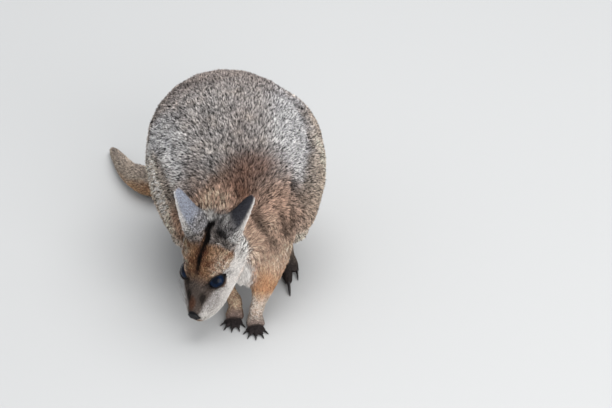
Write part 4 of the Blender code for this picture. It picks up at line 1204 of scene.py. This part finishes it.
def coat_tree():
    """Geometry Nodes that set locks over a skin, turned along its lie, each with its own patch of the bake map."""
    tree = bpy.data.node_groups.new("Coat of Locks", "GeometryNodeTree")
    face = tree.interface
    face.new_socket("Skin", in_out="INPUT", socket_type="NodeSocketGeometry")
    for name, kind in (
        ("Locks", "NodeSocketCollection"), ("Density", "NodeSocketFloat"), ("Width", "NodeSocketFloat"),
        ("Lift", "NodeSocketFloat"), ("Scatter", "NodeSocketFloat"), ("Seed", "NodeSocketInt"),
        ("Fur", "NodeSocketMaterial"),
    ):
        face.new_socket(name, in_out="INPUT", socket_type=kind)
    face.new_socket("Coat", in_out="OUTPUT", socket_type="NodeSocketGeometry")
    n = Nodes(tree)
    given = n.add("NodeGroupInput").outputs

    def named(name, kind):
        return n.add("GeometryNodeInputNamedAttribute", ("Name", name), data_type=kind).outputs["Attribute"]

    def chance(kind, low, high, step):
        seed = n.sum("ADD", given["Seed"], float(step))
        slot = {"FLOAT_VECTOR": 0, "FLOAT": 2, "INT": 4}[kind]
        node = n.add("FunctionNodeRandomValue", (slot, low), (slot + 1, high), ("Seed", seed), data_type=kind)
        return node.outputs[slot // 2]

    cast = n.add(
        "GeometryNodeDistributePointsOnFaces", ("Mesh", given["Skin"]), ("Seed", given["Seed"]),
        ("Density", n.sum("MULTIPLY", given["Density"], named("growth", "FLOAT"))), distribute_method="RANDOM",
    )
    points = n.add(
        "GeometryNodeStoreNamedAttribute", ("Geometry", cast.outputs["Points"]), ("Name", "chance"),
        ("Value", chance("FLOAT", 0.0, 1.0, 11)), data_type="FLOAT", domain="POINT",
    ).outputs[0]
    facing = n.add(
        "FunctionNodeAxesToRotation", ("Primary Axis", cast.outputs["Normal"]),
        ("Secondary Axis", named("lie", "FLOAT_VECTOR")), primary_axis="Z", secondary_axis="X",
    ).outputs[0]
    loose = n.vector(
        "SCALE", chance("FLOAT_VECTOR", (-0.55, -0.3, -1.0), (0.55, 0.45, 1.0), 23), given["Scatter"]
    )
    turn = n.add("FunctionNodeEulerToRotation", ("Euler", loose)).outputs[0]
    turned = n.add(
        "FunctionNodeRotateRotation", ("Rotation", facing), ("Rotate By", turn), rotation_space="LOCAL"
    ).outputs[0]
    length = n.sum("MULTIPLY", named("hair", "FLOAT"), chance("FLOAT", 0.72, 1.22, 31))
    width = n.sum("MULTIPLY", given["Width"], chance("FLOAT", 0.75, 1.25, 37))
    height = n.sum("MULTIPLY", length, n.sum("MULTIPLY", given["Lift"], chance("FLOAT", 0.75, 1.3, 41)))
    size = n.add("ShaderNodeCombineXYZ", (0, length), (1, width), (2, height)).outputs[0]
    locks = n.add(
        "GeometryNodeCollectionInfo", ("Collection", given["Locks"]), ("Separate Children", True),
        ("Reset Children", True),
    ).outputs[0]
    set_on = n.add(
        "GeometryNodeInstanceOnPoints", ("Points", points), ("Instance", locks), ("Pick Instance", True),
        ("Instance Index", chance("INT", 0, LOCK_KINDS - 1, 53)), ("Rotation", turned), ("Scale", size),
    ).outputs[0]
    real = n.add("GeometryNodeRealizeInstances", ("Geometry", set_on)).outputs[0]
    patch = n.vector("SCALE", named("patch", "FLOAT_VECTOR"), PATCH)
    spot = n.vector("ADD", named("root_place", "FLOAT_VECTOR"), patch)
    mapped = n.add(
        "GeometryNodeStoreNamedAttribute", ("Geometry", real), ("Name", "OFBake"), ("Value", spot),
        data_type="FLOAT2", domain="CORNER",
    ).outputs[0]
    coated = n.add("GeometryNodeSetMaterial", ("Geometry", mapped), ("Material", given["Fur"])).outputs[0]
    n.add("NodeGroupOutput", (0, coated))
    return tree


def skin_patch(skin, name, faces, layers):
    """The chosen faces of the skin as their own mesh, unwrapped, with the coat's measures on it."""
    source = skin.data
    used, again = np.unique(read_corners(source)[faces], return_inverse=True)
    places = np.empty(len(source.vertices) * 3)
    source.vertices.foreach_get("co", places)
    mesh = bpy.data.meshes.new(name)
    mesh.from_pydata(places.reshape(-1, 3)[used].tolist(), [], again.reshape(-1, 3).tolist())
    for key, (kind, values, field) in layers.items():
        put_attribute(mesh, key, kind, values[used], field)
    smooth_shaded(mesh)
    patch = new_piece(name, mesh)
    mesh.uv_layers.new(name="root_place")
    bpy.context.view_layer.objects.active = patch
    patch.select_set(True)
    bpy.ops.object.mode_set(mode="EDIT")
    bpy.ops.mesh.select_all(action="SELECT")
    bpy.ops.uv.smart_project(angle_limit=math.radians(72), island_margin=0.004, margin_method="FRACTION")
    bpy.ops.object.mode_set(mode="OBJECT")
    patch.select_set(False)
    return patch


def set_input(modifier, tree, name, value):
    for item in tree.interface.items_tree:
        if item.name == name and item.in_out == "INPUT":
            modifier[item.identifier] = value
            return
    raise KeyError(name)


class WALLABY_OT_coat(bpy.types.Operator):
    """Sets the coat's locks over the skin, in pieces"""

    bl_idname = "wallaby.make_coat"
    bl_label = "Make Coat"

    def execute(self, context):
        coat = context.scene.wallaby_coat
        skin = bpy.data.objects["wallaby_skin"]
        mesh = skin.data
        places, normal, edges = read_places(mesh), read_normals(mesh), read_edges(mesh)
        part = Regions(places)
        lengths = {stem: share * coat.length / CM for stem, share in HAIR_SHARE.items()}
        hair, lie = coat_measures(places, normal, part, lengths)
        lie = evened(lie, edges, 12, 0.6)
        lie = unit(lie - normal * (lie * normal).sum(1)[:, None])
        hair = evened(hair[:, None], edges, 6, 0.5)[:, 0]
        growth = 1 - ramp(0.2, 0.8, read_attribute(mesh, "bare"))
        for side, label in SIDES.items():
            ear = part.of("ear_" + label) * ramp(-0.1, 0.4, normal @ ear_frame(side)[2])
            growth = np.maximum(growth, 0.12 * ear)
        layers = {
            "marking": ("FLOAT_COLOR", read_attribute(mesh, "marking", "color", 4), "color"),
            "flecking": ("FLOAT", read_attribute(mesh, "flecking"), "value"),
            "growth": ("FLOAT", growth, "value"),
            "hair": ("FLOAT", hair * CM, "value"),
            "lie": ("FLOAT_VECTOR", lie, "vector"),
        }
        names, vertex_piece = piece_of(places, part)
        face_piece = vertex_piece[read_corners(mesh)[:, 0]]
        tree = coat_tree()
        fur = hair_material()
        shapes = {k: lock_shapes(k, 40 + k) for k in {row[1] for row in COAT_PIECES.values()}}
        fullness = coat.fullness * 1.0
        total = 0
        for number, (name, (density, strands, width, slot)) in enumerate(COAT_PIECES.items()):
            faces = face_piece == names.index(name)
            if not faces.any():
                raise RuntimeError(f"no skin under {name}")
            patch = skin_patch(skin, name, faces, layers)
            grow = patch.modifiers.new("coat", "NODES")
            grow.node_group = tree
            for key, value in (
                ("Locks", shapes[strands]), ("Density", density * 1e4 * fullness), ("Width", width / 1000),
                ("Lift", coat.lift), ("Scatter", coat.scatter), ("Seed", coat.seed + number), ("Fur", fur),
            ):
                set_input(grow, tree, key, value)
            made = applied(patch)
            for layer in [a.name for a in made.attributes if a.name in SPENT_LAYERS]:
                made.attributes.remove(made.attributes[layer])
            made.uv_layers["OFBake"].active = True
            made.uv_layers["OFBake"].active_render = True
            total += len(made.polygons)
            print(name, len(made.polygons), "triangles")
            if len(made.polygons) >= MOST_TRIANGLES:
                raise RuntimeError(f"{name} has {len(made.polygons)} triangles")
            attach(patch, "root")
        print("coat triangles", total)
        for shape in shapes.values():
            for obj in list(shape.objects):
                bpy.data.objects.remove(obj)
            bpy.data.collections.remove(shape)
        return {"FINISHED"}


# ---------------------------------------------------------------- eyes, nose, claws, whiskers

IRIS_REACH = 46  # degrees from the middle of the eye's look to the edge of the iris
NOSE_GRAIN = 0.00028
WHISKER_STEPS, WHISKER_RADIUS, WHISKER_DROOP = 8, 0.011, 0.12


class WALLABY_OT_eyes(bpy.types.Operator):
    """Makes the two wet eyes with a clear bulge over each pupil"""

    bl_idname = "wallaby.make_eyes"
    bl_label = "Make Eyes"

    def execute(self, context):
        hue = context.scene.wallaby_colours
        made, n = material("Wallaby Eye", 0.2, 0.09)
        ring = n.attribute("iris")
        # The iris's blue tint is painted reflection of the sky over its own dark colour.
        iris = n.shades(n.remap(n.texture("Noise", "Fac", 700.0), 0.35, 0.7), hue.eye, 0.6, 1.5)
        pupil = n.mix(n.remap(ring, 0.42, 0.5), (0.0015, 0.003, 0.008, 1), iris)
        n.paint(n.mix(n.remap(ring, 0.9, 1.1), pupil, (0.006, 0.005, 0.005, 1)))
        for side, label in SIDES.items():
            middle, out, slit, over = eye_frame(side)
            ball = bmesh.new()
            bmesh.ops.create_uvsphere(ball, u_segments=56, v_segments=40, radius=1)
            way = np.array([v.co for v in ball.verts]) @ np.array((slit, over, out))
            far = np.degrees(np.arccos(np.clip(way @ out, -1, 1)))
            bulge = EYE_RADIUS + 0.02 * (1 - ramp(0, IRIS_REACH, far))
            places = (middle + way * bulge[:, None] + SHIFT) * CM
            for v, place in zip(ball.verts, places):
                v.co = place
            bmesh.ops.recalc_face_normals(ball, faces=ball.faces)
            mesh = settle(ball, bpy.data.meshes.new("eyeball_" + label))
            put_attribute(mesh, "iris", "FLOAT", far / IRIS_REACH, "value")
            smooth_shaded(mesh)
            eye = new_piece("eyeball_" + label, mesh, made)
            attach(eye, "root")
            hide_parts("eye_" + label)
        return {"FINISHED"}


class WALLABY_OT_nose(bpy.types.Operator):
    """Makes the pebbled nose pad with its two nostrils"""

    bl_idname = "wallaby.make_nose"
    bl_label = "Make Nose"

    def execute(self, context):
        hue = context.scene.wallaby_colours
        nose = new_piece("nose_pad", settle(solid_copy(("nose",)), bpy.data.meshes.new("nose_pad")))
        mesh = voxelled(nose, NOSE_GRAIN)
        places = evened(read_places(mesh), read_edges(mesh), 14, 0.5)
        write_places(mesh, places)
        normal = read_normals(mesh)
        back, left, up = in_head(places).T
        aside = np.abs(left)
        slot = np.hypot((aside - 0.44) / 0.15, (up - 0.08 - 0.5 * (aside - 0.44)) / 0.085)
        hole = 1 - ramp(0.5, 1.25, slot)
        wing = bump(slot, 1.7, 0.5)
        cleft = bump(left, 0, 0.04) * (1 - ramp(-0.05, 0.25, up))
        push = -0.17 * hole + 0.025 * wing - 0.05 * cleft + 0.02
        write_places(mesh, places + normal * (push * (back < 0.45))[:, None])
        put_attribute(mesh, "hole", "FLOAT", hole, "value")
        smooth_shaded(mesh)
        made, n = material("Nose Leather", 0.36, 0.3)
        pebble = n.texture("Voronoi", "Distance", 1500.0)
        colour = n.shades(n.remap(pebble, 0.0, 0.6), hue.nose, 1.5, 0.5)
        # Painted shade: the nostrils are painted near black inside their shallow dents.
        n.paint(n.mix(n.attribute("hole"), colour, (0.002, 0.002, 0.002, 1)))
        n.emboss(n.sum("MULTIPLY", pebble, -1.0), 0.5, 0.0002)
        mesh.materials.append(made)
        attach(nose, "root")
        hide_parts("nose")
        return {"FINISHED"}


class WALLABY_OT_claws(bpy.types.Operator):
    """Rounds the claws and gives them their horn"""

    bl_idname = "wallaby.make_claws"
    bl_label = "Make Claws"

    def execute(self, context):
        hue = context.scene.wallaby_colours
        made, n = material("Claw Horn", 0.35, 0.3)
        grain = n.texture("Noise", "Fac", 700.0, Detail=2.0)
        n.paint(n.shades(n.remap(grain, 0.3, 0.75), hue.claw, 0.6, 2.2))
        n.emboss(grain, 0.25, 0.0002)
        groups = {}
        for node in sorted(frame["nodes"]):
            if node.startswith("claw"):
                limb = "claws_hand_" if "fore" in node else "claws_foot_"
                groups.setdefault(limb + ("left" if "left" in node else "right"), []).append(node)
        for name, nodes in groups.items():
            claws = new_piece(name, settle(solid_copy(nodes), bpy.data.meshes.new(name)), made)
            rounder = claws.modifiers.new("rounder", "SUBSURF")
            rounder.levels = rounder.render_levels = 2
            mesh = applied(claws)
            smooth_shaded(mesh)
            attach(claws, "root")
            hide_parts(*nodes)
        return {"FINISHED"}


def whisker_roots(draw):
    """Where whiskers grow, as (back, side, up, length): three rows on the muzzle and two hairs over each eye."""
    roots = []
    for side in SIDES:
        for row in range(3):
            for k in range(4):
                roots.append((1.1 + 0.45 * k, side, -0.05 - 0.28 * row, draw.uniform(1.6, 3.0)))
        for k in range(2):
            roots.append((4.9 + 0.5 * k, side, 1.9, draw.uniform(1.2, 1.8)))
    return roots


def add_whisker(made, start, way, length):
    """One tapering three-sided hair that bends back and down."""
    cross = unit(np.cross(way, HEAD_AXES[2]))
    high = np.cross(way, cross)
    bend = HEAD_AXES[0] * 0.25 - np.array((0, 0, WHISKER_DROOP))
    rows = []
    for t in np.linspace(0, 1, WHISKER_STEPS):
        middle = start + way * length * t + bend * length * t * t
        half = WHISKER_RADIUS * (1 - 0.85 * t)
        rows.append([
            made.verts.new((middle + (cross * math.cos(a) + high * math.sin(a)) * half + SHIFT) * CM)
            for a in (0, 2 * math.pi / 3, 4 * math.pi / 3)
        ])
    for a, b in zip(rows, rows[1:]):
        for i in range(3):
            made.faces.new((a[i], a[(i + 1) % 3], b[(i + 1) % 3], b[i]))
    made.faces.new(rows[0][::-1])
    made.faces.new(rows[-1])


class WALLABY_OT_whiskers(bpy.types.Operator):
    """Sets the whiskers of the muzzle and brows"""

    bl_idname = "wallaby.make_whiskers"
    bl_label = "Make Whiskers"

    def execute(self, context):
        skin = bpy.data.objects["wallaby_skin"].data
        places, normal = read_places(skin), read_normals(skin)
        local = in_head(places)
        draw = np.random.default_rng(17)
        whiskers = bmesh.new()
        for back, side, up, length in whisker_roots(draw):
            near = ((local[:, 0] - back) ** 2 + (local[:, 2] - up) ** 2) + 10 * (local[:, 1] * side < 0)
            k = int(near.argmin())
            way = unit(normal[k] * 0.8 + HEAD_AXES[0] * 0.9 + draw.normal(size=3) * 0.08)
            add_whisker(whiskers, places[k] - normal[k] * 0.05, way, length)
        bmesh.ops.recalc_face_normals(whiskers, faces=whiskers.faces)
        mesh = settle(whiskers, bpy.data.meshes.new("whiskers"))
        smooth_shaded(mesh)
        made, n = material("Whisker", 0.4, 0.4)
        patchy = n.remap(n.texture("Noise", "Fac", 60.0), 0.4, 0.6)
        n.paint(n.mix(patchy, (0.02, 0.017, 0.015, 1), (0.25, 0.22, 0.2, 1)))
        piece = new_piece("whiskers", mesh, made)
        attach(piece, "root")
        return {"FINISHED"}


# ---------------------------------------------------------------- stage

VIEW_TURN, VIEW_RISE = math.radians(-6), math.radians(34)
VIEW_AIM = (9.2, 24.0, 0.0)
FLOOR_HALF = 6.0  # metres
LIGHT_AIM = (0.0, -0.03, 0.08)
LIGHTS = (("overhead", 2.6, (0.5, 0.4, 2.4)), ("front", 2.0, (0.7, -2.1, 0.8)))  # name, width and place in metres


def aimed(obj, place, aim):
    obj.location = place
    obj.rotation_euler = (Vector(aim) - Vector(place)).to_track_quat("-Z", "Y").to_euler()
    bpy.context.scene.collection.objects.link(obj)


class WALLABY_OT_stage(bpy.types.Operator):
    """Sets the floor, the soft lights and the camera"""

    bl_idname = "wallaby.set_stage"
    bl_label = "Set Stage"

    def execute(self, context):
        scene, stage, hue = context.scene, context.scene.wallaby_stage, context.scene.wallaby_colours
        mesh = bpy.data.meshes.new("floor")
        square = ((-1, -1), (1, -1), (1, 1), (-1, 1))
        mesh.from_pydata([(x * FLOOR_HALF, y * FLOOR_HALF, 0) for x, y in square], [], [(0, 1, 2, 3)])
        made, n = material("Plain Floor", 0.85, 0.2)
        n.shader.inputs["Base Color"].default_value = (*hue.floor, 1)
        floor = new_piece("floor", mesh, made)

        for (name, size, place), power in zip(LIGHTS, (stage.key_power, stage.fill_power)):
            light = bpy.data.lights.new(name, "AREA")
            light.energy = power
            light.shape = "DISK"
            light.size = size
            aimed(bpy.data.objects.new(name, light), place, LIGHT_AIM)
        world = bpy.data.worlds.new("sky")
        world.use_nodes = True
        world.node_tree.nodes["Background"].inputs[0].default_value = (0.93, 0.96, 1.0, 1)
        world.node_tree.nodes["Background"].inputs[1].default_value = stage.sky
        scene.world = world
        scene.view_settings.view_transform = "Standard"

        aim = (np.array(VIEW_AIM) + SHIFT) * CM
        level = math.cos(VIEW_RISE)
        away = np.array((math.sin(VIEW_TURN) * level, -math.cos(VIEW_TURN) * level, math.sin(VIEW_RISE)))
        camera = bpy.data.cameras.new("camera")
        camera.lens = stage.lens
        camera.sensor_width = 36.0
        camera.clip_end = 30.0
        eye = bpy.data.objects.new("camera", camera)
        aimed(eye, aim + away * stage.distance, aim)
        scene.camera = eye
        return {"FINISHED"}


# ---------------------------------------------------------------- panel and run

STEPS = ("make_skin", "make_coat", "make_eyes", "make_nose", "make_claws", "make_whiskers", "set_stage")


class WALLABY_PT_panel(bpy.types.Panel):
    """Sizes, colours and the steps in order"""

    bl_idname = "WALLABY_PT_panel"
    bl_label = "Crouching Wallaby"
    bl_space_type = "VIEW_3D"
    bl_region_type = "UI"
    bl_category = "Wallaby"

    def draw(self, context):
        for holder in (getattr(context.scene, name) for name in HOLDERS):
            box = self.layout.box()
            for key in holder.__annotations__:
                box.prop(holder, key)
        for step in STEPS:
            self.layout.operator("wallaby." + step)


CLASSES = (
    WallabyColours, WallabyCoat, WallabySkin, WallabyStage, WALLABY_OT_skin, WALLABY_OT_coat, WALLABY_OT_eyes,
    WALLABY_OT_nose, WALLABY_OT_claws, WALLABY_OT_whiskers, WALLABY_OT_stage, WALLABY_PT_panel,
)
HOLDERS = {
    "wallaby_skin": WallabySkin, "wallaby_coat": WallabyCoat, "wallaby_colours": WallabyColours,
    "wallaby_stage": WallabyStage,
}


def register():
    for one in CLASSES:
        bpy.utils.register_class(one)
    for name, group in HOLDERS.items():
        setattr(bpy.types.Scene, name, bpy.props.PointerProperty(type=group))


def unregister():
    for name in HOLDERS:
        delattr(bpy.types.Scene, name)
    for one in reversed(CLASSES):
        bpy.utils.unregister_class(one)


def main():
    register()
    for step in STEPS:
        getattr(bpy.ops.wallaby, step)()


if __name__ == "__main__":
    main()
